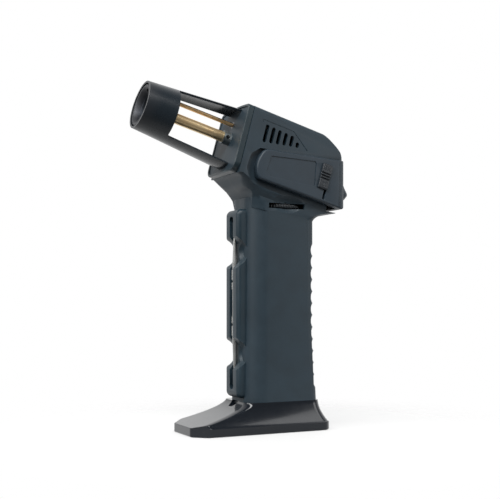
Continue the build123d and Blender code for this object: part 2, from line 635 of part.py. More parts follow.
def adjuster_wheel():
    """The knurled flame wheel round the valve, reached through a slot in each flank."""
    low, high = WHEEL_Z - WHEEL_THICK / 2, WHEEL_Z + WHEEL_THICK / 2
    disc = chamfer(rod_z(VALVE_X, 0, WHEEL_R, low, high).edges(), 0.4)
    wheel = disc + rod_z(VALVE_X, 0, 6.0, low - 3.0, high)
    wheel -= rod_z(VALVE_X, 0, 4.05, low - 5, high + 5)
    tooth_gap = Pos(WHEEL_R + 0.25, 0, 0) * Rot(0, 0, 45) * Box(0.9, 0.9, 10)
    gaps = [Pos(VALVE_X, 0, WHEEL_Z) * Rot(0, 0, 360 * i / WHEEL_TEETH) * tooth_gap
            for i in range(WHEEL_TEETH)]
    return wheel - gaps


def gas_hose():
    """The hose from the valve to the jet, held all its way."""
    back = at(JET_BACK - 7.5, 0)
    points = [(-3.1, 0, NIPPLE_Z), (back.X, 0, NIPPLE_Z), back, at(JET_BACK - 0.5, 0)]
    path = FilletPolyline(*points, radius=4.5)
    ring = Plane(origin=points[0], z_dir=(-1, 0, 0)) * (Circle(1.7) - Circle(1.0))
    return sweep(ring, path=path)


# ---------------------------------------------------------------- fuel tank
def tank_section(inset):
    """The tank's plan outline."""
    gap = WALL + TANK_GAP + inset
    _, front, back, half = GRIP_SECTIONS[1]
    return grip_section(front, back, half, gap)


def fuel_tank():
    """The open-topped tank that fills the grip."""
    outer = extrude(Pos(0, 0, TANK_BOTTOM) * tank_section(0), amount=TANK_TOP - TANK_BOTTOM)
    inner = extrude(Pos(0, 0, TANK_BOTTOM + TANK_WALL) * tank_section(TANK_WALL),
                    amount=TANK_TOP - TANK_BOTTOM)
    return outer - inner - rod_z(FILL_X, 0, 3.5, 20, 30)


def tank_lid():
    """The lid welded on the tank, threaded for the outlet valve."""
    lid = extrude(Pos(0, 0, TANK_TOP) * tank_section(0), amount=1.4)
    lid += extrude(Pos(0, 0, TANK_TOP - 2.5) * tank_section(TANK_WALL + 0.05), amount=3)
    return lid - rod_z(VALVE_X, 0, 3.0, 100, 130)


def fill_valve():
    """The brass filling valve in the bottom of the tank, open downwards."""
    valve = rod_z(FILL_X, 0, 3.5, 16.0, 31.0) + rod_z(FILL_X, 0, 4.5, 15.0, 17.0)
    return valve - rod_z(FILL_X, 0, FILL_BORE_R, 14, 15.0 + FILL_BORE_DEPTH)


def fill_seal():
    """The sealing ring between the filling valve and the tank."""
    return Pos(FILL_X, 0, 23.6) * Torus(4.35, 0.8)


def dip_tube():
    """The wick tube that hangs from the outlet valve into the fuel."""
    tube = rod_z(VALVE_X, 0, 1.6, TANK_BOTTOM + 6, TANK_TOP - 4)
    return tube - rod_z(VALVE_X, 0, 1.0, TANK_BOTTOM, TANK_TOP)


# ---------------------------------------------------------------- tool rail, tool and stand
def tool_rail():
    """The channel on the front of the grip, with two finger notches."""
    rail = block((RAIL_FRONT, RAIL_BACK), (-RAIL_HALF, RAIL_HALF), (RAIL_BOTTOM, RAIL_TOP))
    rail = fillet(rail.edges().filter_by(Axis.Y).group_by(Axis.X)[0], 3.6)
    rail = fillet(rail.edges().filter_by(Axis.Z).group_by(Axis.X)[0], 2.4)
    for centre in NOTCH_CENTRES:
        notch = make_face(Polyline(
            (RAIL_FRONT - 1, centre - NOTCH_HALF - 1), (RAIL_FRONT - 1, centre + NOTCH_HALF + 1),
            (RAIL_FRONT + NOTCH_DEPTH, centre + NOTCH_HALF - 4.2),
            (RAIL_FRONT + NOTCH_DEPTH, centre - NOTCH_HALF + 4.2), close=True))
        notch = fillet(notch.vertices().group_by(Axis.X)[-1], 1.6)
        rail -= side_prism(notch, 20)
        rail -= mirrored(Pos(RAIL_FRONT - 2.0, 9.4, centre) * Sphere(8.4))
    low, high = RAIL_BOTTOM + 4.5, RAIL_TOP - 2.5
    rail -= block((RAIL_FRONT - 2, GROOVE_FLOOR), (-GROOVE_HALF, GROOVE_HALF), (low + 2, high - 2))
    for height in (low + 2.5, high - 4.0):
        rail -= Pos(RAIL_FRONT - 2, 0, height) * Rot(0, 90, 0) * Cylinder(
            2.5, 2 * (GROOVE_FLOOR - RAIL_FRONT + 2))
    return rail - grip()


def rail_tool():
    """The double-ended steel pick held in the rail."""
    half = TOOL_LENGTH / 2
    waist, collar = TOOL_R - 0.2, TOOL_COLLAR_R
    upper = [(0, half), (0.35, half - 0.4), (TOOL_R, half - 20), (TOOL_R, 18.8), (collar, 18.2),
             (collar, 13.0), (waist, 12.7), (waist, 12.1), (collar, 11.8), (collar, 8.0),
             (TOOL_R, 7.4)]
    lower = [(radius, -height) for radius, height in reversed(upper)]
    profile = make_face(Polyline(*upper, *lower, close=True))
    return Pos(TOOL_X, 0, TOOL_CENTRE) * revolve(Plane.XZ * profile, axis=Axis.Z)


def stand_rim():
    """The stand's outline at its rim: blunt nose, cut corners, rounded heel."""
    nose_x, side_x = STAND_FRONT, STAND_FRONT + STAND_CORNER
    face = make_face(Polyline((nose_x, STAND_NOSE_HALF), (side_x, STAND_HALF),
                              (STAND_BACK, STAND_HALF), (STAND_BACK, -STAND_HALF),
                              (side_x, -STAND_HALF), (nose_x, -STAND_NOSE_HALF), close=True))
    face = fillet(face.vertices().group_by(Axis.X)[-1], 5.0)
    return fillet(face.vertices().group_by(Axis.X)[0] + face.vertices().group_by(Axis.X)[1], 2.0)


def base_stand():
    """The glossy stand: a low rim and a foot that sweeps up to the grip."""
    rim = extrude(stand_rim(), amount=STAND_RIM + 0.1)
    rim = fillet(rim.faces().sort_by(Axis.Z)[0].edges(), 0.8)
    sections = []
    for height, front, back, half, corner in STAND_SECTIONS:
        sections.append(Pos(0, 0, height) * rounded(front, back, half, corner, FOOT_BACK_CORNER))
    foot = loft(sections) & extrude(stand_rim(), amount=30)
    stand = rim + foot
    stand -= rod_x(0, 18.6, 4.4, -31.0, -22.6)
    stand -= rod_z(FILL_X, 0, FILL_WELL_R, -1, 12.0) + rod_z(FILL_X, 0, 5.0, 10, 20)
    for x, y in BASE_SCREWS:
        stand -= rod_z(x, y, 1.6, -1, 20) + rod_z(x, y, 3.1, -1, 8.0)
    return stand


def pan_screw(length, head_radius=2.7, head_height=1.8, radius=1.25):
    """A pan-head screw along +Z: its head below zero and its shank above."""
    head = Pos(0, 0, -head_height / 2) * Cylinder(head_radius, head_height)
    head = chamfer(head.faces().sort_by(Axis.Z)[0].edges(), 0.4)
    cross = Box(3.0, 0.7, 1.6) + Box(0.7, 3.0, 1.6)
    return head + Pos(0, 0, length / 2) * Cylinder(radius, length) - Pos(0, 0, -head_height) * cross


def shell_screws():
    """The screws that close the housing, driven from the right side."""
    screws = []
    for x, z in screw_places():
        screws.append(Pos(x, 12.0, z) * Rot(90, 0, 0) * pan_screw(20.0))
    return Compound(screws)


def base_screws():
    """The screws that hold the stand to the grip, sunk in its underside."""
    return Compound([Pos(x, y, 8.0) * pan_screw(14.0) for x, y in BASE_SCREWS])


# ---------------------------------------------------------------- output
left_shell, right_shell = shell_halves()
PARTS = {
    "left_shell": left_shell,
    "right_shell": right_shell,
    "front_bezel": front_bezel(),
    "flame_guard": flame_guard(),
    "burner_cup": burner_cup(),
    "flame_holder": flame_holder(),
    "burner_tube": burner_tube(),
    "jet_holder": jet_holder(),
    "gas_jet": gas_jet(),
    "electrode_tube": electrode_tube(),
    "electrode_pin": electrode_pin(),
    "electrode_bush": electrode_bush(),
    "thumb_trigger": thumb_trigger(),
    "lock_slider": lock_slider(),
    "trigger_spring": trigger_spring(),
    "piezo_body": piezo_body(),
    "piezo_plunger": piezo_plunger(),
    "ignition_wire": ignition_wire(),
    "valve_body": valve_body(),
    "valve_stem": valve_stem(),
    "valve_lever": valve_lever(),
    "lever_pin": lever_pin(),
    "adjuster_wheel": adjuster_wheel(),
    "gas_hose": gas_hose(),
    "fuel_tank": fuel_tank(),
    "tank_lid": tank_lid(),
    "fill_valve": fill_valve(),
    "fill_seal": fill_seal(),
    "dip_tube": dip_tube(),
    "tool_rail": tool_rail(),
    "rail_tool": rail_tool(),
    "base_stand": base_stand(),
    "shell_screws": shell_screws(),
    "base_screws": base_screws(),
}

os.makedirs("parts", exist_ok=True)
for name, part in PARTS.items():
    export_step(part, f"parts/{name}.step")
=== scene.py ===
"""The looks of a table-top butane torch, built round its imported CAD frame.

Sizes in the classes are millimetres, and a mesh turns them into metres when it is made. The frame
gives the nozzle's line: its slope from the lock slider's joint, its place from the burner tube.
"""
import json
import logging
import math
from abc import ABC, abstractmethod
from dataclasses import dataclass, field
from enum import Enum
from typing import Callable, Dict, List, Optional, Sequence, Tuple, Union

import bmesh
import bpy
import numpy as np
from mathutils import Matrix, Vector


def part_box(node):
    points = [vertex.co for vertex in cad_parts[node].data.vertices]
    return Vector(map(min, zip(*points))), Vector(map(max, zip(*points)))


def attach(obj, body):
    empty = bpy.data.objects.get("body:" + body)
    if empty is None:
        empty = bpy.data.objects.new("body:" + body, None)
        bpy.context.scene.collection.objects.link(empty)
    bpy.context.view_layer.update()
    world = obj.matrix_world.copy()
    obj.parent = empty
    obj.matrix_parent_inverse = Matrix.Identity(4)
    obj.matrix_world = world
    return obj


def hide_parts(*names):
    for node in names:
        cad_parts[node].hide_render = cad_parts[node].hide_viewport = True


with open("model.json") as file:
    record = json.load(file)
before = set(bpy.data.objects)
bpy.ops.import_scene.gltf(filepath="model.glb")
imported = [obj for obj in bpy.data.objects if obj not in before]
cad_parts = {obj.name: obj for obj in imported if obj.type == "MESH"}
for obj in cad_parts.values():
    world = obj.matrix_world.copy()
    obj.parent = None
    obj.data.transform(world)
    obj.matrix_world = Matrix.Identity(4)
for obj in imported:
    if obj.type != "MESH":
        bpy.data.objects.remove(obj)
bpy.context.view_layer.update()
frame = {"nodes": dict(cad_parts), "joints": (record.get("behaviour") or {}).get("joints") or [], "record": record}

Array = np.ndarray
Colour = Tuple[float, float, float]
Triple = Tuple[float, float, float]
log = logging.getLogger("torch")

MM = 0.001                      # metres in a millimetre
TURN = 2 * math.pi
MERGE = 2e-6                    # points closer than this are one point, in metres
TINY = 1e-9                     # keeps a length from being zero
FLAT = 0.4                      # faces closer in slope than this, in degrees, become one
SOFT = 32.0                     # edges sharper than this, in degrees, are not shaded smooth
UP, ACROSS = np.array([0.0, 0.0, 1.0]), np.array([0.0, 1.0, 0.0])


# ---------------------------------------------------------------- places and shapes
@dataclass(frozen=True)
class Placement:
    """A place and three square directions, from which points are worked out in millimetres."""

    origin: Array
    along: Array
    above: Array
    side: Array

    def points(self, along: Array, above: Array, side: Array) -> Array:
        """Places points given by their distances in the three directions.

        Args:
            along: Distances along the first direction.
            above: Distances along the second direction.
            side: Distances along the third direction.

        Returns:
            The points, with one more dimension of size three.
        """
        along, above, side = np.broadcast_arrays(along, above, side)
        return (self.origin + along[..., None] * self.along + above[..., None] * self.above
                + side[..., None] * self.side)

    def moved(self, along: float = 0.0, above: float = 0.0, side: float = 0.0) -> "Placement":
        """The same directions from another place."""
        origin = self.points(np.array(along), np.array(above), np.array(side))
        return Placement(origin, self.along, self.above, self.side)


def upright(x: float, y: float, z: float = 0.0) -> Placement:
    """A placement whose first direction is straight up."""
    return Placement(np.array([x, y, z]), UP, np.array([-1.0, 0.0, 0.0]), ACROSS)


def node_box(node: str) -> Tuple[Array, Array]:
    """Lowest and highest corner of a CAD node, in millimetres."""
    low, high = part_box(node)
    return np.array(low) / MM, np.array(high) / MM


def nozzle_placement(tube_middle: float) -> Placement:
    """Finds the nozzle's line from the frame.

    The lock slides square to the nozzle, so its joint's axis gives the slope, and the burner tube
    lies on the line, so the middle of its box gives the place.

    Args:
        tube_middle: Distance from the front face to the middle of the burner tube.

    Returns:
        A placement whose first direction is the flame's.
    """
    joint = next(j for j in frame["joints"] if j["name"] == "lock_slide")
    above = -np.array(joint["axis"], float)
    above /= np.linalg.norm(above)
    along = np.array([-above[2], 0.0, above[0]])
    low, high = node_box("burner_tube")
    return Placement((low + high) / 2 - along * tube_middle, along, above, ACROSS)


def grid_faces(rows: int, columns: int, round_rows: bool, round_columns: bool,
               first: int = 0) -> Array:
    """The four-cornered faces of a grid of points.

    Face (i, j) joins points (i, j), (i+1, j), (i+1, j+1) and (i, j+1), counted row by row.

    Args:
        rows: Number of rows of points.
        columns: Number of points in a row.
        round_rows: Whether the last row joins the first.
        round_columns: Whether a row's last point joins its first.
        first: Number of the grid's first point.

    Returns:
        Point numbers, four to a face.
    """
    i, j = np.meshgrid(np.arange(rows if round_rows else rows - 1),
                       np.arange(columns if round_columns else columns - 1), indexing="ij")
    below, right = (i + 1) % rows, (j + 1) % columns
    corners = (i * columns + j, below * columns + j, below * columns + right, i * columns + right)
    return first + np.stack(corners, axis=-1).reshape(-1, 4)


def eased(corners: Array, ease: float, steps: int) -> Array:
    """Rounds the corners of an outline.

    Each corner p with neighbours a and b becomes the parabola (1-t)^2 p0 + 2t(1-t) p + t^2 p1,
    where p0 and p1 lie an ease's length from p towards a and b, at most 0.45 of the way.

    Args:
        corners: Points of the outline, two or three numbers each.
        ease: Length of the rounding along each side.
        steps: Points that each corner becomes.

    Returns:
        The rounded outline's points.
    """
    corners = np.asarray(corners, float)
    to_last, to_next = np.roll(corners, 1, axis=0) - corners, np.roll(corners, -1, axis=0) - corners
    last, after = np.linalg.norm(to_last, axis=1), np.linalg.norm(to_next, axis=1)
    reach = np.minimum(np.minimum(last, after) * 0.45, ease)
    start = corners + to_last / np.maximum(last, TINY)[:, None] * reach[:, None]
    end = corners + to_next / np.maximum(after, TINY)[:, None] * reach[:, None]
    t = np.linspace(0, 1, steps)[None, :, None]
    rounded = ((1 - t) ** 2 * start[:, None] + 2 * t * (1 - t) * corners[:, None]
               + t ** 2 * end[:, None])
    return rounded.reshape(-1, corners.shape[1])


class Piece:
    """One visible piece: its mesh, the CAD node it stands for, and its finish."""

    def __init__(self, name: str, points: Array, faces: Sequence[Sequence[int]]) -> None:
        """Makes the mesh, merged and with its faces turned outwards.

        Args:
            name: The piece's name.
            points: Points in millimetres, in any shape whose last dimension is three.
            faces: Point numbers of each face.
        """
        mesh = bpy.data.meshes.new(name)
        mesh.from_pydata((np.asarray(points, float).reshape(-1, 3) * MM).tolist(), [],
                         [list(map(int, f)) for f in faces])
        self.object = bpy.data.objects.new(name, mesh)
        bpy.context.scene.collection.objects.link(self.object)
        self.clean()

    @classmethod
    def grid(cls, name: str, points: Array, round_rows: bool, round_columns: bool,
             caps: bool = False) -> "Piece":
        """A piece from one grid of points, shape (rows, columns, 3), with its open ends capped."""
        rows, columns = points.shape[:2]
        faces = grid_faces(rows, columns, round_rows, round_columns).tolist()
        if caps:
            faces += [list(range(columns)), list(range((rows - 1) * columns, rows * columns))]
        return cls(name, points, faces)

    @classmethod
    def revolved(cls, name: str, profile: Array, place: Placement, steps: int = 96,
                 closed: bool = True) -> "Piece":
        """A piece turned about a placement's first direction.

        Point (i, j) is profile point i, at radius r and distance s, turned by angle a of step j:
        along = s, above = r cos a, side = r sin a.

        Args:
            name: The piece's name.
            profile: An outline of (radius, distance along) points.
            place: The line it turns about.
            steps: Number of steps round it.
            closed: Whether the outline's end joins its start; if not, both lie on the line.

        Returns:
            The piece.
        """
        angle = np.arange(steps) / steps * TURN
        radius, along = profile[:, 0, None], profile[:, 1, None]
        points = place.points(along, radius * np.cos(angle), radius * np.sin(angle))
        return cls.grid(name, points, closed, True)

    @classmethod
    def carried(cls, name: str, node: str) -> "Piece":
        """A copy of a CAD node's shape, merged, with each flat face made one face."""
        source = frame["nodes"][node].data
        piece = cls.__new__(cls)
        piece.object = bpy.data.objects.new(name, source.copy())
        piece.object.data.materials.clear()
        bpy.context.scene.collection.objects.link(piece.object)
        piece.clean(flatten=True)
        return piece

    def clean(self, flatten: bool = False) -> None:
        """Merges doubled points, and turns the faces outwards or makes each flat face one."""
        mesh = bmesh.new()
        mesh.from_mesh(self.object.data)
        bmesh.ops.remove_doubles(mesh, verts=mesh.verts, dist=MERGE)
        bmesh.ops.dissolve_degenerate(mesh, edges=mesh.edges, dist=MERGE)
        if flatten:
            bmesh.ops.dissolve_limit(mesh, angle_limit=math.radians(FLAT), verts=mesh.verts,
                                     edges=mesh.edges)
        else:
            bmesh.ops.recalc_face_normals(mesh, faces=mesh.faces)
        mesh.to_mesh(self.object.data)
        mesh.free()
        self.smooth()

    def smooth(self) -> "Piece":
        """Shades the piece smooth, apart from its sharp edges."""
        self.object.data.shade_smooth()
        self.object.data.set_sharp_from_angle(angle=math.radians(SOFT))
        return self

    def bevel(self, width: float, steps: int = 2, sharper_than: float = SOFT) -> "Piece":
        """Rounds the piece's sharp edges to a width in millimetres."""
        modifier = self.object.modifiers.new("edge", "BEVEL")
        modifier.width = width * MM
        modifier.segments = steps
        modifier.limit_method = "ANGLE"
        modifier.angle_limit = math.radians(sharper_than)
        modifier.harden_normals = True
        modifier.use_clamp_overlap = True
        return self

    def wall(self, thickness: float) -> "Piece":
        """Gives an open surface a wall inwards, in millimetres."""
        modifier = self.object.modifiers.new("wall", "SOLIDIFY")
        modifier.thickness = thickness * MM
        modifier.offset = -1.0
        modifier.use_even_offset = True
        return self

    def settle(self) -> "Piece":
        """Applies the modifiers made so far."""
        graph = bpy.context.evaluated_depsgraph_get()
        self.object.data = bpy.data.meshes.new_from_object(self.object.evaluated_get(graph))
        self.object.modifiers.clear()
        return self

    def cut(self, *tools: "Piece") -> "Piece":
        """Cuts other pieces out of this one, and removes them."""
        for tool in tools:
            modifier = self.object.modifiers.new("cut", "BOOLEAN")
            modifier.operation = "DIFFERENCE"
            modifier.solver = "EXACT"
            modifier.object = tool.object
        self.settle()
        for tool in tools:
            bpy.data.objects.remove(tool.object)
        return self.smooth()

    def even_shading(self) -> "Piece":
        """Weights the shading by face area, so that large faces stay even beside small ones."""
        modifier = self.object.modifiers.new("shading", "WEIGHTED_NORMAL")
        modifier.keep_sharp = True
        modifier.weight = 60
        return self

    def stand_for(self, *nodes: str) -> "Piece":
        """Takes the place of CAD nodes: rides on the first one's body and hides them all."""
        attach(self.object, body_of(nodes[0]))
        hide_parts(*nodes)
        return self

    def dress(self, finish: "Finish") -> "Piece":
        """Gives the piece its finish."""
        self.object.data.materials.clear()
        self.object.data.materials.append(finish.material())
        triangles = sum(len(face.vertices) - 2 for face in self.object.data.polygons)
        log.info("%s: %d triangles before modifiers", self.object.name, triangles)
        return self


def body_of(node: str) -> str:
    """The body that a CAD node rides on."""
    return next(b for b, nodes in frame["record"]["behaviour"]["bodies"].items() if node in nodes)


def slot_of(node: str) -> str:
    """The material slot that the record gives a CAD node."""
    return next(s["material_slot"] for s in frame["record"]["subparts"] if s["node"] == node)


# ---------------------------------------------------------------- shader maths
def operator(operation: str, first: bool = True) -> Callable[..., "Link"]:
    """Makes one of a Link's operators: a Math node with the Link as its first or last value."""
    def method(self: "Link", other: Union["Link", float]) -> "Link":
        values = (self, other) if first else (other, self)
        return self.shader.add("Math", {"operation": operation}, dict(enumerate(values)))
    return method


class Link:
    """A shader's output, with Python's arithmetic."""

    def __init__(self, shader: "Shader", socket: bpy.types.NodeSocket) -> None:
        """Keeps the output and the tree that it belongs to."""
        self.shader, self.socket = shader, socket

    __add__ = __radd__ = operator("ADD")
    __mul__ = operator("MULTIPLY")
    __sub__ = operator("SUBTRACT")
    __rsub__ = operator("SUBTRACT", first=False)
    __pow__ = operator("POWER")

    def within(self, low: float, high: float) -> "Link":
        """This, running from 0 at low to 1 at high, and held between them."""
        return self.shader.add("MapRange", {"interpolation_type": "SMOOTHSTEP"},
                               {"Value": self, "From Min": low, "From Max": high})


class Shader:
    """A material's node tree."""

    def __init__(self, name: str) -> None:
        """Starts an empty material."""
        self.material = bpy.data.materials.new(name)
        self.material.use_nodes = True
        self.nodes = self.material.node_tree.nodes
        self.links = self.material.node_tree.links
        self.nodes.clear()
        self.place = self.add("TexCoord", output="Object")

    def add(self, kind: str, settings: Optional[dict] = None, sockets: Optional[dict] = None,
            output: Union[str, int] = 0) -> Link:
        """Adds any node.

        Args:
            kind: The node's type, without its ShaderNode prefix.
            settings: The node's own settings, and "stops" for a ramp's places and colours.
            sockets: Values or links, by the socket's name or number.
            output: The output to return.

        Returns:
            That output.
        """
        node = self.nodes.new("ShaderNode" + kind)
        for name, value in (settings or {}).items():
            if name == "stops":
                self.set_stops(node.color_ramp, value)
            else:
                setattr(node, name, value)
        for name, value in (sockets or {}).items():
            target = node.inputs[name]
            if isinstance(value, Link):
                self.links.new(value.socket, target)
            else:
                target.default_value = value
        return Link(self, node.outputs[output])

    @staticmethod
    def set_stops(ramp: bpy.types.ColorRamp, stops: Sequence[Tuple[float, Colour]]) -> None:
        """Gives a ramp its stops."""
        while len(ramp.elements) < len(stops):
            ramp.elements.new(1.0)
        for element, (position, colour) in zip(ramp.elements, stops):
            element.position = position
            element.color = (*colour, 1.0)

    def noise(self, size: float, detail: float = 3.0, roughness: float = 0.55,
              stretch: float = 1.0, turn: Triple = (0.0, 0.0, 0.0)) -> Link:
        """Noise with features of a size in millimetres, stretched along a turned X axis."""
        place = self.place
        if stretch != 1.0:
            place = self.add("Mapping", {"vector_type": "TEXTURE"},
                             {"Vector": place, "Rotation": turn, "Scale": (stretch, 1.0, 1.0)})
        return self.add("TexNoise", {"noise_dimensions": "3D"},
                        {"Vector": place, "Scale": 1 / (size * MM), "Detail": detail,
                         "Roughness": roughness})

    def mix(self, share: Link, low: Union[Link, Colour], high: Union[Link, Colour]) -> Link:
        """Mixes two colours."""
        low, high = (value if isinstance(value, Link) else (*value, 1.0) for value in (low, high))
        return self.add("Mix", {"data_type": "RGBA"}, {0: share, 6: low, 7: high}, output=2)

    def clouded(self, share: Link, colour: Colour, darker: float, lighter: float) -> Link:
        """A colour that runs from darker to lighter factors of itself."""
        return self.mix(share, painted(colour, darker), painted(colour, lighter))

    def distance(self, point: Array, direction: Array) -> Link:
        """Distance of a point on the surface from a place, along a direction, in millimetres."""
        offset = self.add("VectorMath", {"operation": "SUBTRACT"},
                          {0: self.place, 1: tuple(np.asarray(point) * MM)})
        return self.dot(offset, tuple(direction)) * (1 / MM)

    def dot(self, first: Link, second: Union[Link, Tuple[float, ...]]) -> Link:
        """The dot product of two vectors."""
        return self.add("VectorMath", {"operation": "DOT_PRODUCT"}, {0: first, 1: second},
                        output="Value")

    def edges(self, radius: float) -> Link:
        """How near an edge is: 0 on a face, rising within a radius in millimetres."""
        rounded = self.add("Bevel", {"samples": 4}, {"Radius": radius * MM})
        straight = self.add("NewGeometry", output="Normal")
        return (1 - self.dot(rounded, straight)).within(0.01, 0.16)

    def bump(self, height: Link, depth: float, strength: float,
             below: Optional[Link] = None) -> Link:
        """Raises the surface by a height from 0 to 1 times a depth in millimetres."""
        sockets = {"Height": height, "Distance": depth * MM, "Strength": strength}
        if below is not None:
            sockets["Normal"] = below
        return self.add("Bump", None, sockets)

    def finish(self, sockets: Dict[str, Union[Link, float]]) -> bpy.types.Material:
        """Ends the tree in a Principled shader with these values or links."""
        surface = self.add("BsdfPrincipled", None, sockets)
        output = self.nodes.new("ShaderNodeOutputMaterial")
        self.links.new(surface.socket, output.inputs["Surface"])
        return self.material


# ---------------------------------------------------------------- finishes
def painted(colour: Colour, factor: float) -> Colour:
    """A colour, lighter or darker by a factor."""
    return tuple(min(1.0, part * factor) for part in colour)


class Finish(ABC):
    """A finish that makes its material once."""

    _made: Dict["Finish", bpy.types.Material] = {}

    @abstractmethod
    def build(self) -> bpy.types.Material:
        """Makes the material."""

    def material(self) -> bpy.types.Material:
        """The finish's material."""
        if self not in Finish._made:
            Finish._made[self] = self.build()
        return Finish._made[self]


@dataclass(frozen=True)
class MouldedPlastic(Finish):
    """Dark plastic from a spark-eroded mould: fine grain, faint mottling, and edges that are glossier and
    lightened as a painted highlight.
    """

    name: str
    colour: Colour
    roughness: float = 0.52
    grain: float = 0.34
    depth: float = 0.012
    edge_gloss: float = 0.10

    def build(self) -> bpy.types.Material:
        """Grain bumps the surface, and slow noise varies its colour and roughness; an edge mask lightens the
        colour as a painted highlight and lowers the roughness.
        """
        shader = Shader(self.name)
        cloud = shader.noise(14.0, 4.0)
        fine = shader.noise(self.grain, 2.0, 0.6)
        # Mask of the edges: it paints a highlight on the colour and lowers the roughness.
        edge_highlight_and_gloss = shader.edges(0.7)
        mottling = (cloud * 0.7 + fine * 0.3).within(0.32, 0.68)
        colour = shader.clouded(mottling, self.colour, 0.88, 1.13)
        # Edges lightened towards 1.7 times the colour: a painted highlight.
        colour = shader.mix(edge_highlight_and_gloss * 0.35, colour, painted(self.colour, 1.7))
        roughness = (self.roughness + (cloud - 0.5) * 0.14 + (fine - 0.5) * 0.12
                     - edge_highlight_and_gloss * self.edge_gloss)
        swell = shader.bump(cloud, 0.05, 0.35)
        return shader.finish({"Base Color": colour, "Roughness": roughness,
                              "Normal": shader.bump(fine, self.depth, 0.8, swell)})


@dataclass(frozen=True)
class GlossPlastic(Finish):
    """Polished plastic: a slow swell from moulding, hairline rubs and a little dust."""

    name: str
    colour: Colour
    roughness: float = 0.10

    def build(self) -> bpy.types.Material:
        """Stretched noise makes hairlines, and sharp spots of fine noise make dust."""
        shader = Shader(self.name)
        swell = shader.noise(16.0, 1.0)
        hairline = shader.noise(0.5, 2.0, 0.6, 26.0, (0.2, 0.1, 0.5)).within(0.60, 0.74)
        dust = shader.noise(0.55, 1.0).within(0.76, 0.82)
        colour = shader.mix(dust * 0.5, self.colour, (0.16, 0.16, 0.16))
        roughness = self.roughness + swell * 0.05 + hairline * 0.08 + dust * 0.3
        return shader.finish({"Base Color": colour, "Roughness": roughness, "Coat Weight": 0.25,
                              "Coat Roughness": 0.04, "Normal": shader.bump(swell, 0.04, 0.25)})


@dataclass(frozen=True)
class CoatedSteel(Finish):
    """Heat-resistant black coating on steel, pebbled, and duller towards the muzzle."""

    name: str
    place: Placement = field(hash=False, compare=False)
    colour: Colour = (0.011, 0.017, 0.023)
    muzzle: float = 55.8

    def build(self) -> bpy.types.Material:
        """Distance along the nozzle drives the heat fade; noise drives the pebbling; an edge mask paints a
        highlight.
        """
        shader = Shader(self.name)
        along = shader.distance(self.place.origin, self.place.along)
        pebble = shader.noise(0.6, 3.0)
        cloud = shader.noise(7.0, 3.0)
        heat = along.within(self.muzzle - 9.0, self.muzzle) * (cloud * 0.6 + 0.5)
        colour = shader.mix(heat * 0.5, self.colour, (0.026, 0.026, 0.030))
        # Edges lightened where the cloud noise is high: a painted highlight.
        colour = shader.mix(shader.edges(0.4) * cloud * 0.5, colour, (0.07, 0.075, 0.08))
        roughness = 0.18 + cloud * 0.12 + heat * 0.12 + pebble * 0.06
        return shader.finish({"Base Color": colour, "Roughness": roughness,
                              "Normal": shader.bump(pebble, 0.02, 0.5)})


@dataclass(frozen=True)
class ThroatShadedSteel(Finish):
    """Bare steel, darker towards the throat as painted shade."""

    name: str
    place: Placement = field(hash=False, compare=False)
    rim: float = 55.4
    throat: float = 47.6

    def build(self) -> bpy.types.Material:
        """A ramp along the nozzle runs from near black in the throat, painted shade, to grey at the rim."""
        shader = Shader(self.name)
        along = shader.distance(self.place.origin, self.place.along)
        cloud = shader.noise(2.4, 3.0)
        # Darker deeper into the cup: painted shade in the throat.
        share = (along + (cloud - 0.5) * 2.0).within(self.throat, self.rim + 0.6)
        stops = [(0.0, (0.010, 0.012, 0.014)), (0.45, (0.016, 0.020, 0.026)),
                 (0.72, (0.034, 0.036, 0.042)), (1.0, (0.07, 0.072, 0.078))]
        colour = shader.add("ValToRGB", {"stops": stops}, {"Fac": share})
        turned = shader.noise(0.25, 2.0)
        roughness = 0.42 + cloud * 0.16
        return shader.finish({"Base Color": colour, "Metallic": 0.75, "Roughness": roughness,
                              "Normal": shader.bump(turned, 0.01, 0.6)})


class Metal(Enum):
    """The colours of the bare metals: clean, and where they have tarnished."""

    BRASS = ((0.93, 0.72, 0.42), (0.78, 0.54, 0.28))
    ROD = ((0.86, 0.58, 0.30), (0.66, 0.41, 0.19))
    STEEL = ((0.52, 0.53, 0.52), (0.36, 0.37, 0.36))
    BLACKENED = ((0.06, 0.06, 0.065), (0.03, 0.03, 0.035))


@dataclass(frozen=True)
class DrawnMetal(Finish):
    """Drawn or ground metal: fine lines along one direction, and handling marks."""

    name: str
    metal: Metal
    along: Triple
    roughness: float = 0.24
    lines: float = 0.12
    metallic: float = 0.7

    def build(self) -> bpy.types.Material:
        """Noise squeezed across the direction makes the lines, and slow noise the tarnish."""
        shader = Shader(self.name)
        tilt = math.atan2(-self.along[2], math.hypot(self.along[0], self.along[1]))
        heading = math.atan2(self.along[1], self.along[0])
        line = shader.noise(self.lines, 2.0, 0.6, 60.0, (0.0, tilt, heading))
        cloud = shader.noise(5.0, 4.0)
        spot = shader.noise(1.1, 2.0).within(0.58, 0.72)
        clean, tarnished = self.metal.value
        colour = shader.mix((cloud * 0.8 + line * 0.2).within(0.30, 0.90), clean, tarnished)
        colour = shader.mix(spot * 0.25, colour, painted(tarnished, 0.6))
        roughness = self.roughness + (line - 0.5) * 0.08 + cloud * 0.10 + spot * 0.06
        return shader.finish({"Base Color": colour, "Metallic": self.metallic,
                              "Roughness": roughness, "Normal": shader.bump(line, 0.003, 0.5)})


@dataclass(frozen=True)
class CastMetal(Finish):
    """Tumbled die-cast zinc: dull grey with a sandy skin."""

    name: str
    colour: Colour

    def build(self) -> bpy.types.Material:
        """Two sizes of noise pit and stain the skin."""
        shader = Shader(self.name)
        sand, cloud = shader.noise(0.4, 3.0), shader.noise(4.0, 3.0)
        colour = shader.clouded(cloud.within(0.3, 0.7), self.colour, 0.8, 1.2)
        roughness = 0.42 + sand * 0.2
        return shader.finish({"Base Color": colour, "Metallic": 0.85, "Roughness": roughness,
                              "Normal": shader.bump(sand, 0.03, 0.5)})


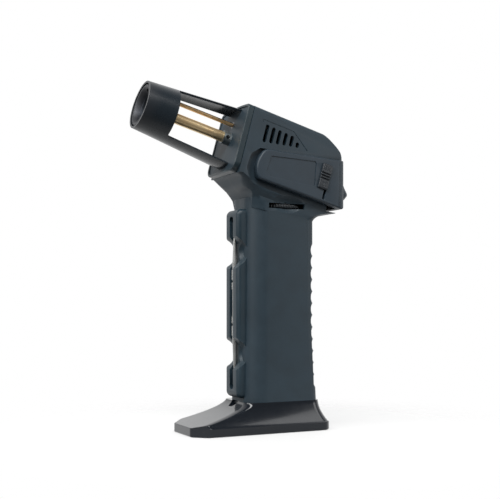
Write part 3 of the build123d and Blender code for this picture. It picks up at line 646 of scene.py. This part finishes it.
@dataclass(frozen=True)
class PlainMoulding(Finish):
    """Inner mouldings, ceramic, rubber and hose: one colour with faint clouding and a skin."""

    name: str
    colour: Colour
    roughness: float
    depth: float = 0.01
    skin: float = 0.5

    def build(self) -> bpy.types.Material:
        """Slow noise clouds the colour, and fine noise bumps the skin."""
        shader = Shader(self.name)
        cloud, skin = shader.noise(6.0, 3.0), shader.noise(self.skin, 2.0)
        colour = shader.clouded(cloud.within(0.3, 0.7), self.colour, 0.86, 1.12)
        roughness = self.roughness + (cloud - 0.5) * 0.15
        return shader.finish({"Base Color": colour, "Roughness": roughness,
                              "Normal": shader.bump(skin, self.depth, 0.6)})


# ---------------------------------------------------------------- sub-assemblies
@dataclass
class Stand:
    """The glossy stand: a low rim with a blunt nose, and a foot that sweeps up to the grip."""

    front: float = -57.0
    back: float = 29.2
    half: float = 20.5
    rim: float = 5.2
    top: float = 17.5
    neck_front: float = -24.2
    neck_back: float = 23.6
    neck_half: float = 17.1
    nose_half: float = 12.4
    nose_slope: float = 0.9
    front_ease: Tuple[float, float] = (2.2, 6.0)                # at the rim and at the grip
    back_ease: float = 6.0
    pocket_at: Tuple[float, float] = (-31.0, 18.6)              # start, height
    pocket: Tuple[float, float] = (4.4, 8.4)                    # radius, length
    well_at: Tuple[float, float] = (10.5, 0.0)
    well: Triple = (7.0, 12.0, 5.0)                             # radius, depth, neck's radius
    screws: Tuple[Tuple[float, float], ...] = ((-12.0, -8.0), (-12.0, 8.0))
    screw_hole: Triple = (3.1, 8.0, 1.6)

    def outline(self, front: Array, back: Array, half: Array, ease: Array) -> Array:
        """Rounded outlines of the stand, one for each level.

        The outline is a polygon drawn in by a radius, whose corners then carry arcs of that radius:
        point = corner + r (cos a, sin a), with a running between the normals of the two sides. The
        nose's half width grows by the slope times the distance that the front has drawn in.

        Args:
            front: Where the front lies, for each level.
            back: Where the back lies, for each level.
            half: Half the width, for each level.
            ease: Radius of the front corners, for each level.

        Returns:
            Points with shape (levels, points round, 2).
        """
        front, back, half, r = (np.asarray(v, float)[:, None] for v in (front, back, half, ease))
        shift = r * math.sqrt(1 + self.nose_slope ** 2)
        nose = self.nose_half + self.nose_slope * (front + r - self.front) - shift
        nose = np.minimum(nose, half - r)
        knee = (half - r + shift - self.nose_half) / self.nose_slope + self.front
        knee = np.maximum(knee, front + r)
        normal = math.pi / 2 + math.atan(self.nose_slope)
        steps = 9
        arcs = []
        for x, y, radius, start, end in (
                (front + r, nose, r, math.pi, normal), (knee, half - r, r, normal, math.pi / 2),
                (back - self.back_ease, half - self.back_ease, self.back_ease, math.pi / 2, 0.0)):
            angle = np.linspace(start, end, steps)[None, :]
            arcs.append(np.stack([x + radius * np.cos(angle), y + radius * np.sin(angle)], axis=-1))
        side = np.concatenate(arcs, axis=1)
        mirrored = side[:, ::-1] * np.array([1.0, -1.0])
        return np.concatenate([side, mirrored], axis=1)

    def levels(self) -> Tuple[Array, Array, Array, Array, Array]:
        """Heights, fronts, backs, half widths and front radii from the underside up to the grip.

        With t from 0 at the rim to 1 at the grip, the front runs home as 1 - (1 - t)^1.6, the back
        as 1 - (1 - t)^1.7 and the sides as 1 - (1 - t)^2.1, so that the toe is a long ramp and the
        flanks are a short sweep.
        """
        edge = np.array([0.0, 0.25, 0.5, 0.75, 1.0]) * math.pi / 2
        round_low = 0.8
        low = round_low * (1 - np.cos(edge))
        low_in = round_low * (1 - np.sin(edge))
        round_high = 0.55
        high = self.rim - round_high * (1 - np.sin(edge))
        high_in = round_high * (1 - np.cos(edge))
        t = np.linspace(0.02, 1, 28)
        rise = self.rim + (self.top - self.rim) * t
        run = [1 - (1 - t) ** power for power in (1.6, 1.7, 2.1)]
        z = np.concatenate([low, high, rise])
        inset = np.concatenate([low_in, high_in])
        front, back, half = (
            np.concatenate([edge - sign * inset, start + (neck - start) * part])
            for edge, start, neck, sign, part in (
                (self.front, self.front + round_high, self.neck_front, -1, run[0]),
                (self.back, self.back - round_high, self.neck_back, 1, run[1]),
                (self.half, self.half - round_high, self.neck_half, 1, run[2])))
        ease = np.interp(z, (self.rim, self.top), self.front_ease)
        return z, front, back, half, ease

    def stepped(self, radius: float, depth: float, neck: float) -> Array:
        """Profile of a hole from below, narrower past a depth, which runs out above the stand."""
        top = self.top + 1.5
        return np.array([(0.0, -1.0), (radius, -1.0), (radius, depth), (neck, depth),
                         (neck, top), (0.0, top)])

    def build(self) -> Piece:
        """Makes the stand, with its pocket, filling well and screw holes."""
        z, *sides = self.levels()
        flat = self.outline(*sides)
        height = np.broadcast_to(z[:, None, None], (*flat.shape[:2], 1))
        piece = Piece.grid("stand", np.concatenate([flat, height], axis=-1), False, True, caps=True)
        start, rise = self.pocket_at
        lying = Placement(np.array([start, 0.0, rise]), np.array([1.0, 0.0, 0.0]), UP, ACROSS)
        radius, length = self.pocket
        pocket = np.array([(0.0, 0.0), (radius, 0.0), (radius, length), (0.0, length)])
        tools = [Piece.revolved("pocket", pocket, lying, 64),
                 Piece.revolved("well", self.stepped(*self.well), upright(*self.well_at), 64)]
        tools += [Piece.revolved(f"hole_{i}", self.stepped(*self.screw_hole), upright(*place), 40)
                  for i, place in enumerate(self.screws)]
        piece.cut(*tools).bevel(0.35, 3, 40.0).even_shading()
        piece.dress(GlossPlastic("stand gloss", (0.008, 0.011, 0.016)))
        return piece.stand_for("base_stand")


@dataclass
class Housing:
    """The two shells of grip and head, with the bezel round the front face."""

    edge: float = 0.32
    trim_edge: float = 0.45
    shell: Finish = MouldedPlastic("housing plastic", (0.016, 0.032, 0.045))
    trim: Finish = MouldedPlastic("bezel plastic", (0.012, 0.026, 0.034), roughness=0.40)

    def build(self) -> List[Piece]:
        """Carries the shells and the bezel over with softened edges."""
        parts = (("left_shell", self.shell, self.edge), ("right_shell", self.shell, self.edge),
                 ("front_bezel", self.trim, self.trim_edge))
        return [Piece.carried(node + "_moulding", node).bevel(edge, 3).dress(finish).stand_for(node)
                for node, finish, edge in parts]


@dataclass
class Nozzle:
    """The flame guard, burner and spark gear on the nozzle's line."""

    place: Placement
    guard_end: float = 55.8
    guard_root: float = -6.0
    guard_end_r: float = 13.6
    guard_taper: float = 0.083
    guard_wall: float = 1.1
    window_end: float = 38.2
    strut_half: float = math.radians(27.0)
    window_ease: float = 1.2
    burner_r: float = 3.0
    burner_span: Tuple[float, float] = (4.4, 44.5)
    rod_rise: float = 8.5
    rod_r: float = 1.15
    rod_span: Tuple[float, float] = (0.0, 41.0)
    cup_r: float = 12.1
    cup_front: float = 55.4

    def guard_radius(self, along: Array) -> Array:
        """Outer radius of the guard at a distance along the nozzle."""
        return self.guard_end_r + (self.guard_end - along) * self.guard_taper

    def on_guard(self, along: Array, angle: Array) -> Array:
        """Points on the guard's outside, at distances along it and angles from its top."""
        radius = self.guard_radius(along)
        return self.place.points(along, radius * np.cos(angle), radius * np.sin(angle))

    def window_edge(self, angle: Array) -> Array:
        """How far forward the open windows reach at an angle from the top.

        Away from a strut it is the window's end. Within the easing length e of a strut's edge it
        drops along a quarter circle, end - e + sqrt(e^2 - (e - d)^2), where d is the distance round
        the guard from the strut.
        """
        from_strut = np.minimum(np.abs(np.sin(angle)), 1.0)
        arc = np.arcsin(from_strut) - self.strut_half
        d = np.clip(arc * self.guard_radius(self.window_end), 0.0, self.window_ease)
        e = self.window_ease
        return self.window_end - e + np.sqrt(np.maximum(e * e - (e - d) ** 2, 0.0))

    def angles(self) -> Array:
        """Angles round the guard, close together where a window's corner is rounded."""
        corner = self.window_ease / self.guard_radius(np.array(self.window_end))
        strut = np.linspace(-self.strut_half, self.strut_half, 25)
        ease = self.strut_half + corner * (1 - np.cos(np.linspace(0, math.pi / 2, 9)))[1:]
        window = np.linspace(ease[-1], math.pi - ease[-1], 31)[1:-1]
        half = np.concatenate([strut, ease, window, math.pi - ease[::-1]])
        return np.concatenate([half, half + math.pi])

    def guard(self) -> Piece:
        """The guard: one collar and two struts, cut from a cone of radius guard_radius(s)."""
        angle = self.angles()
        low = np.where(np.abs(np.sin(angle)) <= math.sin(self.strut_half) + TINY,
                       self.window_end - self.window_ease, self.window_edge(angle))
        share = np.linspace(0, 1, 14)[:, None]
        along = low + (self.guard_end - low) * share
        collar = self.on_guard(along, angle)
        faces = [grid_faces(*collar.shape[:2], False, True)]
        points = [collar.reshape(-1, 3)]
        along = np.linspace(self.guard_root, self.window_end - self.window_ease, 20)[:, None]
        for turn in (0.0, math.pi):
            round_strut = np.linspace(-self.strut_half, self.strut_half, 25) + turn
            strut = self.on_guard(along, round_strut)
            faces.append(grid_faces(*strut.shape[:2], False, False, sum(map(len, points))))
            points.append(strut.reshape(-1, 3))
        piece = Piece("guard", np.concatenate(points), np.concatenate(faces))
        piece.wall(self.guard_wall).bevel(0.28, 3, 50.0)
        return piece.dress(CoatedSteel("guard coating", self.place)).stand_for("flame_guard")

    def turned(self, name: str, node: str, corners: Sequence[Tuple[float, float]], ease: float,
               finish: Finish, rise: float = 0.0, steps: int = 96) -> Piece:
        """A piece turned about the nozzle, or a line above it, from its profile's corners."""
        profile = eased(np.array(corners), ease, 5)
        piece = Piece.revolved(name, profile, self.place.moved(above=rise), steps)
        return piece.dress(finish).stand_for(node)

    def burner(self) -> List[Piece]:
        """The brass mixing tube, the rod above it and the cast jet holder."""
        direction = tuple(self.place.along)
        brass = DrawnMetal("drawn brass", Metal.BRASS, direction)
        rod = DrawnMetal("dull brass", Metal.ROD, direction, roughness=0.32)
        steel = DrawnMetal("spark pin steel", Metal.STEEL, direction)
        zinc = CastMetal("cast zinc", (0.23, 0.26, 0.27))
        start, end = self.burner_span
        r = self.burner_r
        tube = [(r - 0.5, start), (r, start), (r, end), (r - 0.5, end)]
        low, high = self.rod_span
        sleeve = [(0.55, low), (self.rod_r, low), (self.rod_r, high), (0.55, high)]
        pin = [(0.0, low - 9.0), (0.5, low - 9.0), (0.5, 52.2), (0.18, 52.8), (0.0, 52.8)]
        return [
            self.turned("mixing_tube", "burner_tube", tube, 0.14, brass),
            self.turned("spark_sleeve", "electrode_tube", sleeve, 0.12, rod, self.rod_rise, 48),
            self.turned("spark_pin", "electrode_pin", pin, 0.05, steel, self.rod_rise, 32),
            Piece.carried("jet_casting", "jet_holder").bevel(0.25, 2).dress(zinc)
            .stand_for("jet_holder"),
        ]

    def cup(self) -> Piece:
        """The flared cup inside the collar, with steps turned in its flare."""
        seat, lead = (float(self.guard_radius(np.array(s))) - self.guard_wall - 0.05
                      for s in (42.0, 45.0))
        front = self.cup_front
        corners = [(seat, 42.0), (lead, 45.0), (self.cup_r, 46.0), (self.cup_r, front - 0.5),
                   (self.cup_r - 0.5, front), (10.5, front), (9.9, front - 0.8), (8.3, front - 3.3),
                   (8.0, front - 3.5), (5.8, 47.8), (5.6, 47.4), (5.6, 42.0)]
        bore = self.rod_r + 0.1
        hole = np.array([(0.0, 39.0), (bore, 39.0), (bore, 55.5), (0.0, 55.5)])
        piece = Piece.revolved("flame_cup", eased(np.array(corners), 0.3, 4), self.place, 128)
        pin_hole = Piece.revolved("pin_hole", hole, self.place.moved(above=self.rod_rise), 32)
        piece.cut(pin_hole).even_shading()
        return piece.dress(ThroatShadedSteel("cup steel with painted throat shade", self.place)).stand_for("burner_cup")

    def build(self) -> List[Piece]:
        """Makes everything on the nozzle's line."""
        return [self.guard(), *self.burner(), self.cup()]


@dataclass
class TriggerGear:
    """The thumb trigger and the lock slider on its left wing."""

    place: Placement
    shell: Finish = MouldedPlastic("trigger plastic", (0.020, 0.034, 0.048), roughness=0.50)
    satin: Finish = MouldedPlastic("slider plastic", (0.018, 0.023, 0.029), roughness=0.42)
    pad: Triple = (6.4, 15.0, 1.3)                              # width, length, height
    pad_back: float = 54.9
    pad_rise: float = -6.7
    pad_face: float = 21.65
    groove_pitch: float = 1.6
    groove_half: float = 0.42
    groove_depth: float = 0.85
    neck_at: float = 2.3
    dimple_pitch: float = 0.85
    dimple_depth: float = 0.16

    def trigger(self) -> Piece:
        """Carries the trigger over with softened edges."""
        piece = Piece.carried("trigger_moulding", "thumb_trigger").bevel(0.3, 3)
        return piece.dress(self.shell).stand_for("thumb_trigger")

    def pad_height(self, across: Array, up: Array) -> Array:
        """Height of the pad's face over the wing.

        A superellipse 1 - |2x/w|^16 - |2y/l|^20 rounds the rim. Three grooves across the middle are
        smooth valleys at -1, 0 and 1 pitch, and the ends carry rows of shallow dimples, each a
        product of two cosines.
        """
        width, length, height = self.pad
        rim = 1 - np.abs(2 * across / width) ** 16 - np.abs(2 * up / length) ** 20
        rim = np.clip(rim, 0, 1) ** 0.5
        valleys = sum(np.exp(-((up - i * self.groove_pitch) / self.groove_half) ** 4)
                      for i in (-1, 0, 1))
        ends = np.clip((np.abs(up) - 2.9) / 0.5, 0, 1)
        ends = ends * np.clip((length / 2 - 0.9 - np.abs(up)) / 0.4, 0, 1)
        ends = ends * np.clip((width / 2 - 0.7 - np.abs(across)) / 0.3, 0, 1)
        dimples = np.cos(TURN * across / self.dimple_pitch) * np.cos(TURN * up / self.dimple_pitch)
        dimples = self.dimple_depth * np.clip(dimples, 0, 1) * ends
        return height * rim - self.groove_depth * valleys * rim - dimples

    def slider(self) -> Piece:
        """The slider's pad, as a height over a grid closed by its flat back, and its neck."""
        width, length, _ = self.pad
        across = np.linspace(-width / 2, width / 2, 65)[:, None]
        up = np.linspace(-length / 2, length / 2, 141)[None, :]
        lift = self.pad_height(across, up)
        back, rise = -self.pad_back - across, self.pad_rise + up
        face = self.place.points(back, rise, -(self.pad_face + lift))
        rear = self.place.points(back, rise, -np.full_like(lift, self.pad_face))
        count = lift.size
        faces = np.concatenate([grid_faces(*lift.shape, False, False),
                                grid_faces(*lift.shape, False, False, count)[:, ::-1]])
        neck_low, neck_high = self.pad_rise - length / 2 + 2.0, self.pad_rise - length / 2 + 5.2
        neck = np.array([(-0.5, neck_low), (0.5, neck_low), (0.5, neck_high), (-0.5, neck_high)])
        ring = eased(neck, 0.45, 5)
        depth = np.array([self.pad_face - 3.05, self.pad_face + 0.1])[:, None]
        tube = self.place.points(-self.pad_back - self.neck_at - ring[None, :, 0],
                                 ring[None, :, 1], -depth)
        ends = [list(range(2 * count, 2 * count + len(ring))),
                list(range(2 * count + len(ring), 2 * count + 2 * len(ring)))]
        faces = faces.tolist() + grid_faces(2, len(ring), False, True, 2 * count).tolist() + ends
        points = np.concatenate([face.reshape(-1, 3), rear.reshape(-1, 3), tube.reshape(-1, 3)])
        piece = Piece("slider_pad", points, faces)
        return piece.dress(self.satin).stand_for("lock_slider")

    def build(self) -> List[Piece]:
        """Makes the trigger and its slider."""
        return [self.trigger(), self.slider()]


@dataclass
class GripRail:
    """The rail on the front of the grip and the steel pick clipped in it."""

    pick_x: float = -24.3
    pick_middle: float = 73.9
    pick_half: float = 42.0
    pick_r: float = 1.4
    collar_r: float = 1.75
    plastic: Finish = MouldedPlastic("rail plastic", (0.014, 0.030, 0.042), roughness=0.44)

    def pick_profile(self) -> Array:
        """Radius against height of the pick, symmetric about its middle.

        Each half has a needle point, whose radius grows as the square root of the distance from its
        tip, and a knurled collar, whose radius is a raised cosine in seven ridges.
        """
        tip = np.linspace(0, 1, 14)
        needle_z = self.pick_half - 20.0 * tip ** 1.4
        needle_r = 0.1 + (self.pick_r - 0.1) * np.sqrt(tip) * (0.72 + 0.28 * tip)
        needle_r[0] = 0.0
        knurl_z = np.linspace(18.6, 8.0, 57)
        knurl_r = self.collar_r + 0.1 * np.cos(TURN * (knurl_z - 8.0) / 1.5)
        waist = np.abs(knurl_z - 12.4) < 0.55
        knurl_r = np.where(waist, self.pick_r - 0.2, knurl_r)
        half = np.concatenate([np.stack([needle_r, needle_z], 1), [[self.pick_r, 19.0]],
                               np.stack([knurl_r, knurl_z], 1), [[self.pick_r, 7.6]]])
        return np.concatenate([half, half[::-1] * np.array([1.0, -1.0])])

    def pick(self) -> Piece:
        """The double-ended pick, turned about its own line."""
        place = upright(self.pick_x, 0.0, self.pick_middle)
        piece = Piece.revolved("steel_pick", self.pick_profile(), place, 40, closed=False)
        steel = DrawnMetal("ground steel", Metal.STEEL, tuple(UP))
        return piece.dress(steel).stand_for("rail_tool")

    def build(self) -> List[Piece]:
        """Makes the rail and the pick."""
        rail = Piece.carried("rail_moulding", "tool_rail").bevel(0.3, 3)
        return [rail.dress(self.plastic).stand_for("tool_rail"), self.pick()]


@dataclass
class FlameWheel:
    """The knurled wheel whose rim shows in the slot in each flank."""

    x: float = 1.0
    z: float = 129.4
    radius: float = 16.2
    thick: float = 2.4
    bore: float = 4.05
    hub: float = 6.0
    teeth: int = 60
    tooth_depth: float = 0.55

    def build(self) -> Piece:
        """Makes the wheel.

        Its rim's radius at angle a is R - d (0.5 + 0.5 cos(teeth a))^2, so that the teeth are wide
        lands with narrow valleys between them, and the valleys fade out towards the chamfers.
        """
        half, land = self.thick / 2, self.radius - 1.6
        corners = np.array([(self.bore, -half - 3.0), (self.hub, -half - 3.0), (self.hub, -half),
                            (land, -half), (self.radius, -half + 0.45),
                            (self.radius, half - 0.45), (land, half), (self.bore, half)])
        profile = eased(corners, 0.3, 4)
        angle = np.arange(self.teeth * 8) / (self.teeth * 8) * TURN
        near_rim = np.clip((profile[:, 0, None] - (self.radius - 1.8)) / 1.2, 0, 1)
        valley = (0.5 + 0.5 * np.cos(self.teeth * angle)) ** 2
        radius = profile[:, 0, None] - self.tooth_depth * near_rim * valley
        place = upright(self.x, 0.0, self.z)
        points = place.points(profile[:, 1, None], radius * np.cos(angle), radius * np.sin(angle))
        piece = Piece.grid("flame_wheel_rim", points, True, True)
        plastic = MouldedPlastic("wheel plastic", (0.022, 0.026, 0.030), roughness=0.40)
        return piece.dress(plastic).stand_for("adjuster_wheel")


@dataclass
class InnerWorks:
    """Finishes for the CAD pieces that stay as they are, inside the housing and under the stand."""

    finishes: Dict[str, Finish] = field(default_factory=lambda: {
        "brass": DrawnMetal("turned brass", Metal.BRASS, (0.0, 0.0, 1.0)),
        "steel": DrawnMetal("pin steel", Metal.STEEL, (0.0, 1.0, 0.0)),
        "screw_steel": DrawnMetal("blackened screw", Metal.BLACKENED, (0.0, 1.0, 0.0), 0.36),
        "spring_steel": DrawnMetal("spring wire", Metal.STEEL, (1.0, 0.0, 0.0)),
        "ceramic": PlainMoulding("dark glazed ceramic", (0.035, 0.036, 0.038), 0.25, 0.004),
        "piezo": PlainMoulding("cream moulding", (0.52, 0.48, 0.40), 0.45),
        "inner_plastic": PlainMoulding("black moulding", (0.025, 0.026, 0.028), 0.48),
        "tank": PlainMoulding("tank moulding", (0.30, 0.31, 0.31), 0.35),
        "rubber": PlainMoulding("black rubber", (0.02, 0.02, 0.02), 0.65, 0.02),
        "hose": PlainMoulding("fuel hose", (0.46, 0.42, 0.34), 0.32, 0.004),
    })

    def dress(self) -> None:
        """Gives each CAD node that still shows the finish of its material slot."""
        for name, node in frame["nodes"].items():
            if node.hide_render:
                continue
            node.data.materials.clear()
            node.data.materials.append(self.finishes[slot_of(name)].material())
            log.info("%s: CAD node, %s", name, slot_of(name))


# ---------------------------------------------------------------- studio
@dataclass
class Studio:
    """A pale floor, soft lights and the camera."""

    camera_at: Triple = (-0.2440, -0.4705, 0.0727)
    heading: Tuple[float, float] = (0.43837, 0.89879)
    lens: float = 64.8
    shift: float = 0.111
    ambient: Tuple[float, float] = (0.11, 1.0)                  # before and behind the torch
    floor_fade: Tuple[float, float] = (70.0, 190.0)             # the fade's start and end
    aim: Triple = (0.0, 0.0, 0.12)

    def camera(self) -> None:
        """A level camera whose frame is shifted up, so that upright edges stay upright."""
        data = bpy.data.cameras.new("camera")
        data.lens, data.sensor_width, data.shift_y = self.lens, 36.0, self.shift
        data.clip_start, data.clip_end = 0.01, 20.0
        camera = bpy.data.objects.new("camera", data)
        camera.location = self.camera_at
        camera.rotation_euler = Vector((*self.heading, 0.0)).to_track_quat("-Z", "Y").to_euler()
        bpy.context.scene.collection.objects.link(camera)
        bpy.context.scene.camera = camera

    def light(self, name: str, place: Triple, size: Tuple[float, float], power: float) -> None:
        """A rectangular soft light that faces the torch."""
        data = bpy.data.lights.new(name, "AREA")
        data.shape, data.size, data.size_y = "RECTANGLE", *size
        data.energy = power
        light = bpy.data.objects.new(name, data)
        light.location = place
        facing = Vector(self.aim) - Vector(place)
        light.rotation_euler = facing.to_track_quat("-Z", "Y").to_euler()
        bpy.context.scene.collection.objects.link(light)

    def world(self) -> None:
        """White to the camera; a bright backdrop and a dim room for the light that it sheds."""
        world = bpy.data.worlds.new("studio")
        world.use_nodes = True
        tree = world.node_tree
        background = tree.nodes["Background"]
        place = tree.nodes.new("ShaderNodeTexCoord")
        ahead = tree.nodes.new("ShaderNodeVectorMath")
        ahead.operation = "DOT_PRODUCT"
        ahead.inputs[1].default_value = (*self.heading, 0.0)
        tree.links.new(place.outputs["Generated"], ahead.inputs[0])
        level = tree.nodes.new("ShaderNodeMapRange")
        for name, value in zip(("From Min", "From Max", "To Min", "To Max"),
                               (-0.1, 0.7, *self.ambient)):
            level.inputs[name].default_value = value
        tree.links.new(ahead.outputs["Value"], level.inputs["Value"])
        seen = tree.nodes.new("ShaderNodeLightPath")
        strength = tree.nodes.new("ShaderNodeMath")
        strength.operation = "MAXIMUM"
        tree.links.new(seen.outputs["Is Camera Ray"], strength.inputs[0])
        tree.links.new(level.outputs["Result"], strength.inputs[1])
        tree.links.new(strength.outputs["Value"], background.inputs["Strength"])
        background.inputs["Color"].default_value = (1.0, 1.0, 1.0, 1.0)
        bpy.context.scene.world = world

    def floor(self) -> None:
        """A pale floor just under the stand, which fades into the white of the studio."""
        corners = np.array([(-1, -1, 0), (1, -1, 0), (1, 1, 0), (-1, 1, 0)])
        points = corners * 2.0 * self.floor_fade[1]
        floor = Piece("floor", points + np.array([0.0, 0.0, -0.05]), [(0, 1, 2, 3)])
        shader = Shader("pale floor")
        cloud = shader.noise(60.0, 2.0)
        colour = shader.mix(cloud, (0.90, 0.90, 0.90), (0.93, 0.93, 0.93))
        x = shader.distance(np.zeros(3), np.array([1.0, 0.0, 0.0]))
        y = shader.distance(np.zeros(3), np.array([0.0, 1.0, 0.0]))
        near = 1 - ((x * x + y * y) ** 0.5).within(*self.floor_fade)
        floor.object.data.materials.append(shader.finish({"Base Color": colour, "Roughness": 0.8,
                                                          "Alpha": near * 0.45}))

    def build(self) -> None:
        """Sets the scene."""
        self.camera()
        self.world()
        self.floor()
        self.light("overhead", (-0.30, -0.55, 0.85), (0.9, 0.30), 8.5)
        self.light("left", (-0.85, -0.15, 0.55), (0.6, 0.6), 4.6)
        self.light("right", (0.70, -0.70, 0.35), (0.5, 0.7), 2.5)
        view = bpy.context.scene.view_settings
        view.view_transform = "Standard"
        view.look = "None"


def main() -> None:
    """Builds the torch's looks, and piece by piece."""
    logging.basicConfig(level=logging.INFO, format="%(name)s: %(message)s")
    place = nozzle_placement(sum(Nozzle.burner_span) / 2)
    log.info("nozzle rises by %.1f degrees", math.degrees(math.asin(place.along[2])))
    Studio().build()
    Stand().build()
    Housing().build()
    Nozzle(place).build()
    TriggerGear(place).build()
    GripRail().build()
    FlameWheel().build()
    InnerWorks().dress()
    bpy.context.view_layer.update()


if __name__ == "__main__":
    main()
